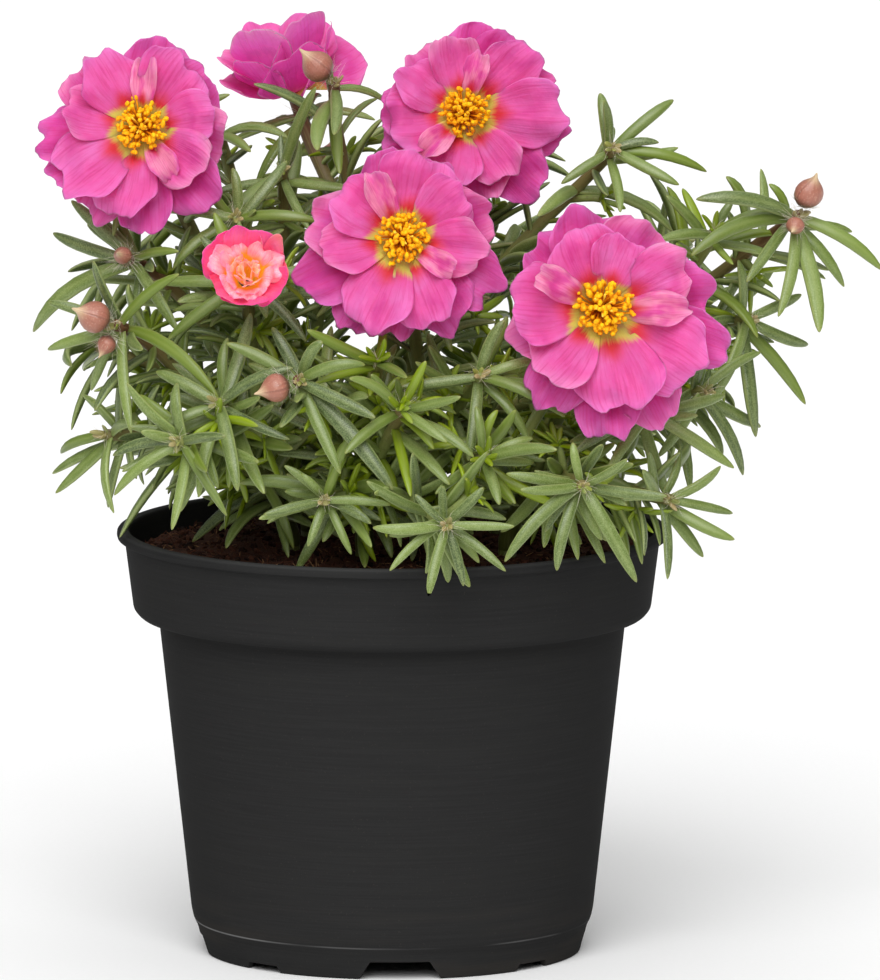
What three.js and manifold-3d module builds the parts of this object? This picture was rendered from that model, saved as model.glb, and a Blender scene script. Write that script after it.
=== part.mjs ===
// Moss rose (portulaca) in a black nursery pot.
// Millimetres, +Z up, origin at the centre of the pot's foot, on the plane that the pot stands on.
// Most blooms and leaf whorls turn towards -Y, the side the plant was grown to be seen from.
import * as THREE from "three";
import { mergeVertices } from "three/addons/utils/BufferGeometryUtils.js";
import Module from "manifold-3d";

const wasm = await Module();
wasm.setup();

// ---------------------------------------------------------------- driving dimensions

const RIM_RADIUS = 60; // outside of the rolled lip
const POT_HEIGHT = 92.8;
const COLLAR_TOP_RADIUS = 58.3; // outside of the band, just under the lip
const COLLAR_FOOT_RADIUS = 56.4;
const COLLAR_FOOT_HEIGHT = 74; // underside of the band
const BODY_TOP_RADIUS = 50.9;
const BODY_FOOT_RADIUS = 43.9;
const BODY_FOOT_HEIGHT = 9.5;
const FOOT_RADIUS = 41.3;
const WALL = 1.3;
const FLOOR_UNDERSIDE = 5.8;
const FLOOR_TOP = 7.4;
const POT_SIDES = 32;
const FOOT_BOSS_RADIUS = 6;
const NOTCH_TURN = 2.4; // degrees that the front notch sits off -Y, towards +X
const DEEP_NOTCH = { angle: 27, height: 4, every: 90, first: 0 };
const SHALLOW_NOTCH = { angle: 15, height: 1.6, every: 90, first: 45 };
const DRAIN_HOLE_RADIUS = 4.5;
const DRAIN_HOLE_RING = 28;

const SOIL_TOP = 88.4;
const SOIL_GAP = 0.7;
const SOIL_SIDES = 16;
const SOIL_CROWN = 1.6; // how far the fill rises to the middle
const SOIL_TOP_RINGS = [42, 27, 12]; // radii of the rings in the fill's surface
const HOLE_DEPTH = 12;
const HOLE_CLEARANCE = 0.45;

const TRUNK_RADIUS = 2.05;
const SHOOT_ROOT_RADIUS = 1.55;
const SHOOT_TIP_RADIUS = 1.25;
const STEM_SIDES = 4;
const BARE_SHARE = 0.22; // a ring this far up a shoot bends its bare stretch

const LEAF_HALF_WIDTH = 1.95;
const LEAF_TOP_RISE = 0.45; // flat upper face above the leaf's centre line
const LEAF_KEEL = 1.35; // rounded lower face below it
const WHORL_LEAF_RINGS = [
  { along: 0.26, size: 1.0 },
  { along: 0.76, size: 0.86 },
];
const SIDE_LEAF_RINGS = [{ along: 0.42, size: 1.0 }];
const LEAF_SLOT = 1.7; // length of stem that a leaf grows out of
const WHORL_LEVELS = 3; // a whorl's leaves grow out of this many slots, one above the other
const WHORL_DROP = 1.6; // from a shoot's tip down to the first of them
const BLOOM_DROP = 7.2; // the same under a bloom
const FULL_LEAF = 20;
const YOUNG_LEAF = 13;
const LOWEST_SIDE_LEAF = 0.34; // share of a shoot's length
const GROWTH_SEED = 4001;
const SEED_STEP = 97;
const GOLDEN_ANGLE = 137.508;
const NODE_GAP = 0.3; // clear space between leaves or stems of two nodes
const LEAF_TRIES = 16;
const SHOOT_TRIES = 60;

const PETAL_THICKNESS = 0.9;
const PETAL_ROOT = 2.7; // petals start this far from the bloom's axis, on the rim of its base
const ROOT_THICKNESS = 0.7;
const BLOOM_UNDERSIDE = 1.5; // how far the base reaches down to the stem
const STAMEN_COUNT = 9;
const BLOOM_STEM_RADIUS = 1.5; // at the tip of a shoot that bears a bloom
const TOUCH_GAP = 0.3;
const TOUCH_VOLUME = 0.002; // two leaves of one shoot that share more than this would cross

const COLOURS = {
  pot: [0x1b1b1c, 0.55],
  soil: [0x33211a, 0.95],
  stem: [0x7d9350, 0.6],
  petals: [0xdb58ab, 0.55],
  stamens: [0xf3ae1c, 0.6],
  opening: [0xf26f8f, 0.55],
  heart: [0xf6c76a, 0.55],
  bud: [0xb58471, 0.5],
};

// ---------------------------------------------------------------- the plant's plan

// One flower form, as two rings of petals. Each petal has its angle about the bloom's axis, its reach and
// its width. Angles are in degrees from the bloom's own right, towards its top. Petals of the two rings
// that share a place in their lists lie one above the other.
const OUTER_PETALS = [
  { lay: "outer", angle: -119, reach: 22.5, width: 12.5 },
  { lay: "outer", angle: -84, reach: 22.0, width: 12.0 },
  { lay: "outer", angle: -51, reach: 22.0, width: 13.5 },
  { lay: "outer", angle: -8, reach: 20.3, width: 14.5 },
  { lay: "outer", angle: 38, reach: 20.0, width: 13.0 },
  { lay: "outer", angle: 77, reach: 19.8, width: 12.5 },
  { lay: "outer", angle: 139, reach: 19.5, width: 13.5 },
  { lay: "outer", angle: 182, reach: 23.6, width: 12.5 },
  { lay: "outer", angle: 211, reach: 24.2, width: 11.5 },
];
const INNER_PETALS = [
  { lay: "inner", angle: -99, reach: 21.3, width: 12.0 },
  { lay: "strip", angle: -61, reach: 15.2, width: 4.6 },
  { lay: "inner", angle: -35, reach: 17.6, width: 9.6 },
  { lay: "inner", angle: 8, reach: 15.8, width: 9.0 },
  { lay: "inner", angle: 52, reach: 18.0, width: 13.0 },
  { lay: "strip", angle: 90, reach: 15.7, width: 4.8 },
  { lay: "inner", angle: 119, reach: 18.0, width: 12.5 },
  { lay: "inner", angle: 167, reach: 17.0, width: 10.6 },
  { lay: "inner", angle: 219, reach: 20.5, width: 12.5 },
];
const OPEN_BLOOM = [OUTER_PETALS, INNER_PETALS];

// How each lay of petal stands: rows and columns of its sheet, its height over the bloom's base at its foot,
// in the middle and at the tip, its cupping, the depth of its waves, and its slant, which lets neighbours
// overlap clear of each other.
const LAYS = {
  inner: { rows: 3, columns: 4, foot: 0.9, mid: 3.9, tip: 5.6, cup: 0.16, wave: 0.6, slant: 0.3 },
  outer: { rows: 2, columns: 4, foot: -0.4, mid: 0.4, tip: 0.4, cup: 0.06, wave: 0.8, slant: 0.34 },
  strip: { rows: 2, columns: 2, foot: 0.9, mid: 5.4, tip: 7.4, cup: 0.5, wave: 0.4, slant: 0.0 },
  opening: { rows: 2, columns: 4, foot: 0, mid: 6.2, tip: 9.2, cup: 0.5, wave: 0.3, slant: 0.34 },
};

const OPENING_BLOOM = [[
  { lay: "opening", angle: -152, reach: 7.6, width: 7.4 },
  { lay: "opening", angle: -95, reach: 7.2, width: 8.5 },
  { lay: "opening", angle: -35, reach: 7.8, width: 8.0 },
  { lay: "opening", angle: 20, reach: 8.4, width: 8.0 },
  { lay: "opening", angle: 80, reach: 7.6, width: 8.5 },
  { lay: "opening", angle: 145, reach: 8.2, width: 8.0 },
]];

// Each stem is one trunk out of the soil with its shoots. A shoot ends at `tip`, looks along `face`, and
// carries `whorl` leaves as [angle, length] round its tip, or that many, then `side` leaves further down.
const STEMS = [
  {
    name: "stem_left_front",
    root: [-22, -9],
    fork: [-30, -20, 108],
    shoots: [
      {
        tip: [-59.5, -36, 142.5],
        face: [-0.35, -0.9, 0.2],
        whorl: [[39, 21], [-16, 28], [-73, 21], [-98, 17], [150, 18], [200, 20]],
        side: 4,
        buds: [{ name: "bud_left", way: [-0.78, -0.5, 0.38], length: 9.4, radius: 3.5 },
          { name: "bud_left_small", way: [-0.45, -0.4, -0.8], length: 5.6, radius: 2.0 }],
      },
      {
        tip: [-31.5, -43, 153.5],
        face: [0.05, -0.95, 0.3],
        opening: { name: "bloom_opening", turn: 0, scale: 1.12 },
        whorl: [[170, 22], [-150, 20], [-40, 18], [20, 22], [95, 15], [130, 16]],
        side: 3,
      },
      { tip: [-37.5, -52, 128], face: [-0.3, -0.9, 0.35], whorl: 8, side: 4 },
      { tip: [-46, -56, 120], face: [-0.45, -0.85, 0.1], whorl: [[152, 19], [185, 17], [215, 18], [10, 14],
        [-30, 17], [-75, 18], [100, 16]], side: 4 },
      { tip: [-62, -25, 117], face: [-0.8, -0.55, 0.1], whorl: [[150, 16], [200, 18], [225, 18], [260, 17],
        [-60, 16], [20, 15], [80, 15]], side: 4 },
    ],
  },
  {
    name: "stem_left_back",
    root: [-18, 10],
    fork: [-26, 6, 112],
    shoots: [
      {
        tip: [-54, -20, 183],
        face: [-0.08, -0.95, 0.3],
        bloom: { name: "bloom_left", turn: 0, scale: 1.0 },
        whorl: [[205, 22], [250, 20], [150, 20], [30, 21], [-20, 20], [95, 18]],
        side: 4,
      },
      {
        tip: [-57, -19, 154.5],
        face: [-0.5, -0.8, 0.3],
        whorl: [[170, 22], [212, 29], [136, 20], [150, 17], [20, 17], [-30, 19], [-75, 18]],
        side: 4,
        buds: [{ name: "bud_left_upper", way: [-0.3, -0.9, 0.3], length: 5.4, radius: 1.9 }],
      },
      { tip: [-24, -6, 172], face: [-0.1, -0.85, 0.5], whorl: [[198, 16], [-8, 17], [35, 22], [225, 24],
        [80, 14], [-60, 16]], side: 4 },
      { tip: [-34, -22, 164], face: [-0.15, -0.9, 0.4], whorl: [[60, 20], [120, 16], [175, 22], [5, 20],
        [215, 16]], side: 4 },
      { tip: [-38, 14, 178], face: [-0.3, -0.35, 0.88], whorl: 7, side: 4 },
    ],
  },
  {
    name: "stem_front",
    root: [-6, -20],
    fork: [-6, -34, 106],
    shoots: [
      {
        tip: [-20, -60, 134],
        face: [-0.05, -0.97, 0.2],
        whorl: [[92, 18], [-22, 19], [-63, 20], [-141, 17], [-43, 29], [20, 16], [170, 14]],
        side: 4,
        buds: [{ name: "bud_front", way: [-0.86, -0.45, -0.2], length: 8.2, radius: 3.1 }],
      },
      { tip: [-14.5, -57, 107.5], face: [0, -0.98, 0.15], whorl: [[-112, 11], [-65, 14], [0, 15], [67, 12],
        [180, 14], [140, 12]], side: 4 },
      { tip: [2, -60, 128], face: [0.05, -0.9, 0.4], whorl: 7, side: 4, young: true },
      { tip: [-3, -50, 137], face: [0, -0.85, 0.5], whorl: 7, side: 4, young: true },
      { tip: [12, -73, 104.5], face: [0.05, -0.98, 0.1], whorl: [[-106, 16], [-72, 13], [-42, 16], [6, 15],
        [50, 13], [92, 11], [131, 11], [178, 16], [-163, 15]], side: 3 },
    ],
  },
  {
    name: "stem_middle",
    root: [9, -8],
    fork: [8, -18, 112],
    shoots: [
      {
        tip: [2.4, -43, 162],
        face: [0, -0.95, 0.3],
        bloom: { name: "bloom_middle", turn: 25, scale: 1.02 },
        whorl: [[200, 21], [160, 18], [-60, 22], [-100, 21], [-20, 20], [60, 16]],
        side: 4,
      },
      { tip: [19, -52, 134], face: [0.1, -0.92, 0.35], whorl: [[20, 17], [75, 16], [150, 16], [200, 17],
        [-100, 19], [-50, 18], [-10, 19]], side: 4 },
      { tip: [20, -62, 117.5], face: [0.1, -0.9, 0.3], whorl: 7, side: 4, young: true },
      { tip: [36, -36, 128], face: [0.35, -0.85, 0.3], whorl: 7, side: 4 },
    ],
  },
  {
    name: "stem_right_front",
    root: [25, -14],
    fork: [34, -26, 108],
    shoots: [
      {
        tip: [45, -54, 148.5],
        face: [0.06, -0.96, 0.25],
        bloom: { name: "bloom_right", turn: 60, scale: 1.13 },
        whorl: [[-150, 20], [-110, 22], [-55, 23], [-20, 22], [30, 20], [100, 18]],
        side: 4,
      },
      { tip: [41, -69, 112.5], face: [0.08, -0.98, 0.12], whorl: [[148, 18], [-2, 19], [-105, 21],
        [-152, 21], [65, 15], [-57, 22], [100, 12], [180, 15]], side: 3 },
      { tip: [60, -46, 106], face: [0.45, -0.85, 0.1], whorl: [[-10, 17], [-54, 17], [50, 12], [25, 14],
        [170, 16], [110, 13], [-100, 17]], side: 4 },
      { tip: [57, -42, 124], face: [0.5, -0.8, 0.2], whorl: 7, side: 4 },
    ],
  },
  {
    name: "stem_right_back",
    root: [23, 13],
    fork: [38, 8, 116],
    shoots: [
      {
        tip: [88, -15, 163.5],
        face: [0.3, -0.85, 0.35],
        whorl: [[-30, 22], [-47, 16], [170, 24], [186, 26], [225, 20], [-98, 28], [-116, 24]],
        side: 4,
        buds: [{ name: "bud_right", way: [0.35, -0.35, 0.87], length: 8.6, radius: 3.1 },
          { name: "bud_right_small", way: [-0.2, -0.9, -0.35], length: 5.0, radius: 1.9 }],
      },
      { tip: [70, -14, 160], face: [0.2, -0.7, 0.6], whorl: 6, side: 4, young: true },
      { tip: [78, -10, 140], face: [0.6, -0.75, 0.1], whorl: [[-60, 24], [-95, 24], [-125, 20], [-25, 18],
        [30, 16], [100, 16], [180, 16]], side: 4 },
      { tip: [68, -22, 126], face: [0.55, -0.8, 0.1], whorl: [[200, 20], [220, 20], [-60, 20], [-20, 20],
        [20, 18], [80, 14]], side: 4 },
      { tip: [64, 24, 152], face: [0.7, 0.1, 0.7], whorl: 7, side: 4 },
    ],
  },
  {
    name: "stem_top",
    root: [1, 8],
    fork: [2, 6, 124],
    shoots: [
      {
        tip: [15.4, -5, 184],
        face: [0.05, -0.94, 0.33],
        bloom: { name: "bloom_top", turn: 135, scale: 0.98 },
        whorl: [[-15, 21], [15, 20], [50, 18], [170, 22], [190, 20], [-75, 20]],
        side: 4,
      },
      {
        tip: [47.8, -10, 177.5],
        face: [0.1, -0.93, 0.35],
        whorl: [[95, 18], [47, 22], [17, 11], [-9, 21], [-34, 18], [-85, 16], [150, 14], [205, 13]],
        side: 4,
      },
      {
        tip: [-12.5, -2, 190.5],
        face: [0.05, -0.6, 0.8],
        whorl: [[212, 23], [226, 26], [238, 22], [-92, 21], [-20, 16], [-45, 14], [5, 14]],
        side: 4,
        buds: [{ name: "bud_top", way: [-0.62, -0.38, 0.68], length: 9.4, radius: 3.4 }],
      },
      {
        tip: [-22, 30, 185.5],
        face: [-0.22, -0.42, 0.88],
        bloom: { name: "bloom_top_left", turn: 200, scale: 0.82, raise: 1.7 },
        whorl: [[200, 18], [250, 17], [20, 17], [90, 18], [140, 18]],
        side: 4,
      },
    ],
  },
  {
    name: "stem_back_left",
    root: [-8, 26],
    fork: [-18, 34, 108],
    shoots: [
      { tip: [-58, 26, 150], face: [-0.6, 0.5, 0.6], whorl: 8, side: 4 },
      { tip: [-66, 8, 132], face: [-0.9, 0.2, 0.3], whorl: 7, side: 4 },
      { tip: [-34, 58, 138], face: [-0.35, 0.85, 0.4], whorl: 8, side: 4 },
      { tip: [-50, 48, 116], face: [-0.6, 0.75, 0.1], whorl: 7, side: 4 },
      {
        tip: [-14, 44, 162],
        face: [-0.1, 0.55, 0.8],
        whorl: 8,
        side: 4,
        buds: [{ name: "bud_back", way: [0.1, 0.5, 0.86], length: 8.6, radius: 3.1 }],
      },
      { tip: [-12, 70, 112], face: [-0.1, 0.97, 0.1], whorl: 7, side: 4 },
    ],
  },
  {
    name: "stem_back_right",
    root: [14, 27],
    fork: [22, 36, 110],
    shoots: [
      { tip: [20, 34, 172], face: [0.1, 0.3, 0.95], whorl: 8, side: 4 },
      { tip: [46, 50, 142], face: [0.6, 0.7, 0.4], whorl: 8, side: 4 },
      { tip: [18, 64, 140], face: [0.2, 0.9, 0.35], whorl: 8, side: 4 },
      { tip: [36, 64, 112], face: [0.4, 0.9, 0.1], whorl: 7, side: 4 },
      { tip: [66, 34, 122], face: [0.85, 0.5, 0.2], whorl: 7, side: 4 },
    ],
  },
];

// ---------------------------------------------------------------- small helpers

const rad = THREE.MathUtils.degToRad;
const UP = new THREE.Vector3(0, 0, 1);
const EAST = new THREE.Vector3(1, 0, 0);
const NORTH = new THREE.Vector3(0, 1, 0);
const vec = (list) => new THREE.Vector3(...list);
const mix = (a, b, t) => a + (b - a) * t;

// A plain seeded generator, so that the plant grows the same way each time.
function seeded(seed) {
  let state = seed >>> 0;
  return (low, high) => {
    state = (Math.imul(state, 1664525) + 1013904223) >>> 0;
    return low + (high - low) * (state / 4294967296);
  };
}

// Right and up of something that looks along `face`.
function lookFrame(face) {
  const right = new THREE.Vector3().crossVectors(UP, face).normalize();
  const top = new THREE.Vector3().crossVectors(face, right).normalize();
  return { right, top, face };
}

function toSolid(geometry) {
  const bare = geometry.clone();
  bare.deleteAttribute("normal");
  bare.deleteAttribute("uv");
  const merged = mergeVertices(bare, 1e-4);
  return new wasm.Manifold(
    new wasm.Mesh({
      numProp: 3,
      vertProperties: new Float32Array(merged.attributes.position.array),
      triVerts: new Uint32Array(merged.index.array),
    }),
  );
}

function toGeometry(solid) {
  const mesh = solid.getMesh();
  const geometry = new THREE.BufferGeometry();
  geometry.setAttribute("position", new THREE.BufferAttribute(mesh.vertProperties, 3));
  geometry.setIndex(new THREE.BufferAttribute(mesh.triVerts, 1));
  return geometry;
}

// Joins many solids, two by two.
function joinAll(solids) {
  let left = solids;
  while (left.length > 1) {
    const next = [];
    for (let i = 0; i < left.length; i += 2) {
      next.push(i + 1 < left.length ? left[i].add(left[i + 1]) : left[i]);
    }
    left = next;
  }
  return left[0];
}

// The largest body of a solid: drops the loose scraps that joining can leave.
function mainBody(solid) {
  const bodies = solid.decompose();
  bodies.sort((a, b) => b.volume() - a.volume());
  return bodies[0];
}

// A closed skin over rings of points that run counter-clockwise about the way from first to last.
// A last ring of one point closes to a tip.
function loft(rings) {
  const points = rings.flat();
  const sides = rings[0].length;
  const index = [];
  for (let j = 1; j < sides - 1; j += 1) index.push(0, j + 1, j);
  for (let i = 0; i < rings.length - 1; i += 1) {
    const here = i * sides;
    const next = here + sides;
    const toTip = rings[i + 1].length === 1;
    for (let j = 0; j < sides; j += 1) {
      const k = (j + 1) % sides;
      if (toTip) index.push(here + j, here + k, next);
      else index.push(here + j, here + k, next + k, here + j, next + k, next + j);
    }
  }
  if (rings.at(-1).length > 1) {
    const last = (rings.length - 1) * sides;
    for (let j = 1; j < sides - 1; j += 1) index.push(last, last + j, last + j + 1);
  }
  const geometry = new THREE.BufferGeometry().setFromPoints(points);
  geometry.setIndex(index);
  return geometry;
}

// A ring of `sides` points about a centre, in the plane of two directions.
function ring(centre, right, top, radius, sides) {
  return Array.from({ length: sides }, (_, i) => {
    const a = (2 * Math.PI * i) / sides;
    const p = centre.clone().addScaledVector(right, radius * Math.cos(a));
    return p.addScaledVector(top, radius * Math.sin(a));
  });
}

function skinGeometry(skin) {
  const geometry = new THREE.BufferGeometry().setFromPoints(skin.points);
  geometry.setIndex(skin.index);
  return geometry;
}

function meshOf(name, geometry, kind) {
  const [colour, roughness] = COLOURS[kind];
  const material = new THREE.MeshStandardMaterial({ color: colour, roughness, metalness: 0 });
  const mesh = new THREE.Mesh(geometry, material);
  mesh.name = name;
  return mesh;
}

// ---------------------------------------------------------------- pot and soil

function potProfile() {
  const outer = [
    [0, 0],
    [FOOT_BOSS_RADIUS, 0],
    [FOOT_BOSS_RADIUS + 1, FLOOR_UNDERSIDE],
    [FOOT_RADIUS - WALL, FLOOR_UNDERSIDE],
    [FOOT_RADIUS - WALL - 0.2, 0],
    [FOOT_RADIUS, 0],
    [FOOT_RADIUS + 1.2, 5.4],
    [BODY_FOOT_RADIUS - 0.5, 7.2],
    [BODY_FOOT_RADIUS, BODY_FOOT_HEIGHT],
    [BODY_TOP_RADIUS, COLLAR_FOOT_HEIGHT - 0.8],
    [BODY_TOP_RADIUS + 0.9, COLLAR_FOOT_HEIGHT],
    [COLLAR_FOOT_RADIUS - 1.3, COLLAR_FOOT_HEIGHT],
    [COLLAR_FOOT_RADIUS, COLLAR_FOOT_HEIGHT + 1.5],
    [COLLAR_TOP_RADIUS, POT_HEIGHT - 2.4],
    [RIM_RADIUS, POT_HEIGHT - 2.0],
    [RIM_RADIUS, POT_HEIGHT - 0.5],
    [RIM_RADIUS - 0.7, POT_HEIGHT],
  ];
  const inner = [
    [RIM_RADIUS - 2.6, POT_HEIGHT],
    [COLLAR_FOOT_RADIUS - WALL, COLLAR_FOOT_HEIGHT + 2.6],
    [BODY_TOP_RADIUS - WALL + 0.2, COLLAR_FOOT_HEIGHT + 1.2],
    [BODY_FOOT_RADIUS - WALL - 1, FLOOR_TOP],
    [0, FLOOR_TOP],
  ];
  return outer.concat(inner).map(([r, z]) => new THREE.Vector2(r, z));
}

// A lathe about +Z: LatheGeometry turns its profile about +Y.
function turned(profile, sides) {
  const geometry = new THREE.LatheGeometry(profile, sides);
  geometry.rotateX(Math.PI / 2);
  return geometry;
}

// A wedge that cuts a notch through the foot ring, with slanted cheeks.
function notchCutter(azimuth, notch) {
  const near = FOOT_RADIUS - 4;
  const far = FOOT_RADIUS + 4;
  const half = rad(notch.angle / 2);
  const wide = FOOT_RADIUS * Math.sin(half);
  const narrow = wide - notch.height * 0.8;
  const section = (x) => [
    new THREE.Vector3(x, -wide, -1),
    new THREE.Vector3(x, wide, -1),
    new THREE.Vector3(x, narrow, notch.height),
    new THREE.Vector3(x, -narrow, notch.height),
  ];
  const geometry = loft([section(near), section(far)]);
  geometry.rotateZ(rad(azimuth));
  return toSolid(geometry);
}

function makePot() {
  let pot = toSolid(turned(potProfile(), POT_SIDES));
  [DEEP_NOTCH, SHALLOW_NOTCH].forEach((notch) => {
    for (let turn = notch.first; turn < 360; turn += notch.every) {
      pot = pot.subtract(notchCutter(turn - 90 + NOTCH_TURN, notch));
    }
  });
  for (let turn = 45; turn < 360; turn += 90) {
    const drill = new THREE.CylinderGeometry(DRAIN_HOLE_RADIUS, DRAIN_HOLE_RADIUS, 6, 8);
    drill.rotateX(Math.PI / 2);
    drill.translate(DRAIN_HOLE_RING, 0, FLOOR_TOP - 1);
    drill.rotateZ(rad(turn));
    pot = pot.subtract(toSolid(drill));
  }
  return meshOf("pot", toGeometry(mainBody(pot)), "pot");
}

// Height of the soil's surface: a low crown with shallow hollows.
function soilHeight(x, y) {
  const r = Math.hypot(x, y) / COLLAR_TOP_RADIUS;
  const hollows = 0.45 * Math.sin(0.21 * x + 1.3) * Math.cos(0.17 * y - 0.4);
  const slopes = 0.3 * Math.sin(0.11 * (x - y));
  return SOIL_TOP + SOIL_CROWN * (1 - r * r) + hollows + slopes;
}

function makeSoil() {
  const sideProfile = [
    [BODY_FOOT_RADIUS - WALL - 1 - SOIL_GAP, FLOOR_TOP + TOUCH_GAP],
    [BODY_TOP_RADIUS - WALL - SOIL_GAP, COLLAR_FOOT_HEIGHT + 0.8],
    [COLLAR_FOOT_RADIUS - WALL - SOIL_GAP - 0.3, COLLAR_FOOT_HEIGHT + 3.3],
  ];
  const topRadii = [COLLAR_TOP_RADIUS - WALL - SOIL_GAP - 0.6, ...SOIL_TOP_RINGS];
  const flatRing = (r, z) => ring(new THREE.Vector3(0, 0, z), EAST, NORTH, r, SOIL_SIDES);
  const rings = sideProfile.map(([r, z]) => flatRing(r, z));
  topRadii.forEach((r) => {
    rings.push(flatRing(r, 0).map((p) => new THREE.Vector3(p.x, p.y, soilHeight(p.x, p.y))));
  });
  rings.push([new THREE.Vector3(0, 0, soilHeight(0, 0))]);
  let soil = toSolid(loft(rings));
  const holeRadius = (TRUNK_RADIUS + HOLE_CLEARANCE) / Math.cos(Math.PI / 8);
  STEMS.forEach(({ root: [x, y] }) => {
    const drill = new THREE.CylinderGeometry(holeRadius, holeRadius, HOLE_DEPTH + 6, 8);
    drill.rotateX(Math.PI / 2);
    drill.translate(x, y, soilHeight(x, y) - HOLE_DEPTH / 2 + 3);
    soil = soil.subtract(toSolid(drill));
  });
  return meshOf("soil", toGeometry(mainBody(soil)), "soil");
}

// ---------------------------------------------------------------- blooms

// A point on a petal's sheet. u runs from its root to its tip, v from -1 to 1 across it.
function petalPoint(petal, phase, frame, scale, raise, u, v) {
  const lay = LAYS[petal.lay];
  const angle = rad(petal.angle);
  const reach = petal.reach * scale;
  const spread = 0.14 + 0.86 * Math.sin(Math.PI * 0.5 * Math.pow(u, 0.85)) - 0.18 * Math.pow(u, 6);
  const half = 0.5 * petal.width * scale * spread;
  const shoulder = 0.2 * Math.pow(Math.abs(v), 2.4) * u;
  const notch = 0.06 * Math.pow(1 - Math.abs(v), 3) * Math.pow(u, 5);
  const out = mix(PETAL_ROOT * scale, reach, u * (1 - shoulder - notch));
  const across = half * v;
  const climb = lay.foot * (1 - u) + 2 * lay.mid * u * (1 - u) + lay.tip * u * u;
  const wave = lay.wave * Math.pow(u, 3) * Math.sin(2.6 * Math.PI * v + phase);
  const height = scale * raise * (climb + lay.cup * Math.abs(v) * half * u + wave) + lay.slant * across * u;
  const [c, s] = [Math.cos(angle), Math.sin(angle)];
  const away = frame.right.clone().multiplyScalar(c).addScaledVector(frame.top, s);
  const aside = frame.right.clone().multiplyScalar(-s).addScaledVector(frame.top, c);
  return away.multiplyScalar(out).addScaledVector(aside, across).addScaledVector(frame.face, height);
}

// Triangles between two rows of points that run the same way, split at like fractions.
function zip(near, far, index) {
  let i = 0;
  let j = 0;
  while (i < near.length - 1 || j < far.length - 1) {
    const nearNext = i < near.length - 1 ? (i + 0.5) / (near.length - 1) : Infinity;
    const farNext = j < far.length - 1 ? (j + 0.5) / (far.length - 1) : Infinity;
    if (farNext <= nearNext) {
      index.push([near[i], far[j], far[j + 1]]);
      j += 1;
    } else {
      index.push([near[i], far[j], near[i + 1]]);
      i += 1;
    }
  }
}

// Adds a petal's blade to a skin: full thickness inside, sharp at its edge, its two faces split alike.
// `root` holds the numbers of the four points that it grows from.
function addPetal(skin, petal, phase, frame, scale, raise, root) {
  const { rows, columns } = LAYS[petal.lay];
  const lift = frame.face.clone().multiplyScalar(PETAL_THICKNESS / 2);
  let upperRow = [root.left, root.upper, root.right];
  let lowerRow = [root.left, root.lower, root.right];
  for (let i = 1; i <= rows; i += 1) {
    const nextUpper = [];
    const nextLower = [];
    for (let j = 0; j <= columns; j += 1) {
      const p = petalPoint(petal, phase, frame, scale, raise, i / rows, (2 * j) / columns - 1);
      const edge = i === rows || j === 0 || j === columns;
      nextUpper.push(skin.points.push(edge ? p : p.clone().add(lift)) - 1);
      nextLower.push(edge ? nextUpper[j] : skin.points.push(p.clone().sub(lift)) - 1);
    }
    const upperFaces = [];
    const lowerFaces = [];
    zip(upperRow, nextUpper, upperFaces);
    zip(lowerRow, nextLower, lowerFaces);
    upperFaces.forEach(([a, b, c]) => skin.index.push(a, b, c));
    lowerFaces.forEach(([a, b, c]) => skin.index.push(a, c, b));
    upperRow = nextUpper;
    lowerRow = nextLower;
  }
}

// All petals of a bloom and the short base that they grow from, as one skin.
function corolla(rings, frame, scale, raise) {
  const skin = { points: [], index: [] };
  const rimPoint = (angle, height) => {
    const away = frame.right.clone().multiplyScalar(Math.cos(rad(angle)));
    away.addScaledVector(frame.top, Math.sin(rad(angle)));
    return away.multiplyScalar(PETAL_ROOT * scale).addScaledVector(frame.face, height);
  };
  let below = null;
  rings.forEach((petals, level) => {
    const count = petals.length;
    const upperLoop = [];
    const lowerLoop = [];
    const corners = petals.map((petal, k) => {
      const next = petals[(k + 1) % count].angle + (k === count - 1 ? 360 : 0);
      const height = LAYS[petal.lay].foot * scale * raise;
      return skin.points.push(rimPoint((petal.angle + next) / 2, height)) - 1;
    });
    petals.forEach((petal, k) => {
      const height = LAYS[petal.lay].foot * scale * raise;
      const root = {
        left: corners[(k + count - 1) % count],
        right: corners[k],
        upper: skin.points.push(rimPoint(petal.angle, height + ROOT_THICKNESS / 2)) - 1,
        lower: skin.points.push(rimPoint(petal.angle, height - ROOT_THICKNESS / 2)) - 1,
      };
      addPetal(skin, petal, 1.7 * k + level, frame, scale, raise, root);
      upperLoop.push(root.upper, root.right);
      lowerLoop.push(root.lower, root.right);
    });
    if (below) band(skin, below, lowerLoop);
    else cap(skin, lowerLoop.slice().reverse(), frame.face.clone().multiplyScalar(-BLOOM_UNDERSIDE));
    below = upperLoop;
  });
  const topHeight = LAYS[rings.at(-1)[0].lay].foot * scale * raise + ROOT_THICKNESS / 2;
  cap(skin, below, frame.face.clone().multiplyScalar(topHeight));
  return skinGeometry(skin);
}

// A closed band of triangles between two loops of a skin's points that run the same way.
function band(skin, low, high) {
  low.forEach((a, i) => {
    const k = (i + 1) % low.length;
    skin.index.push(a, low[k], high[k], a, high[k], high[i]);
  });
}

// Closes a loop of a skin's points to one point.
function cap(skin, loop, centre) {
  const middle = skin.points.push(centre) - 1;
  loop.forEach((a, i) => skin.index.push(a, loop[(i + 1) % loop.length], middle));
}

function makePetals(name, place, face, turn, scale, raise, rings, kind) {
  const mesh = meshOf(name, corolla(rings, turnedFrame(face, turn), scale, raise), kind);
  mesh.position.copy(place);
  return mesh;
}

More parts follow.
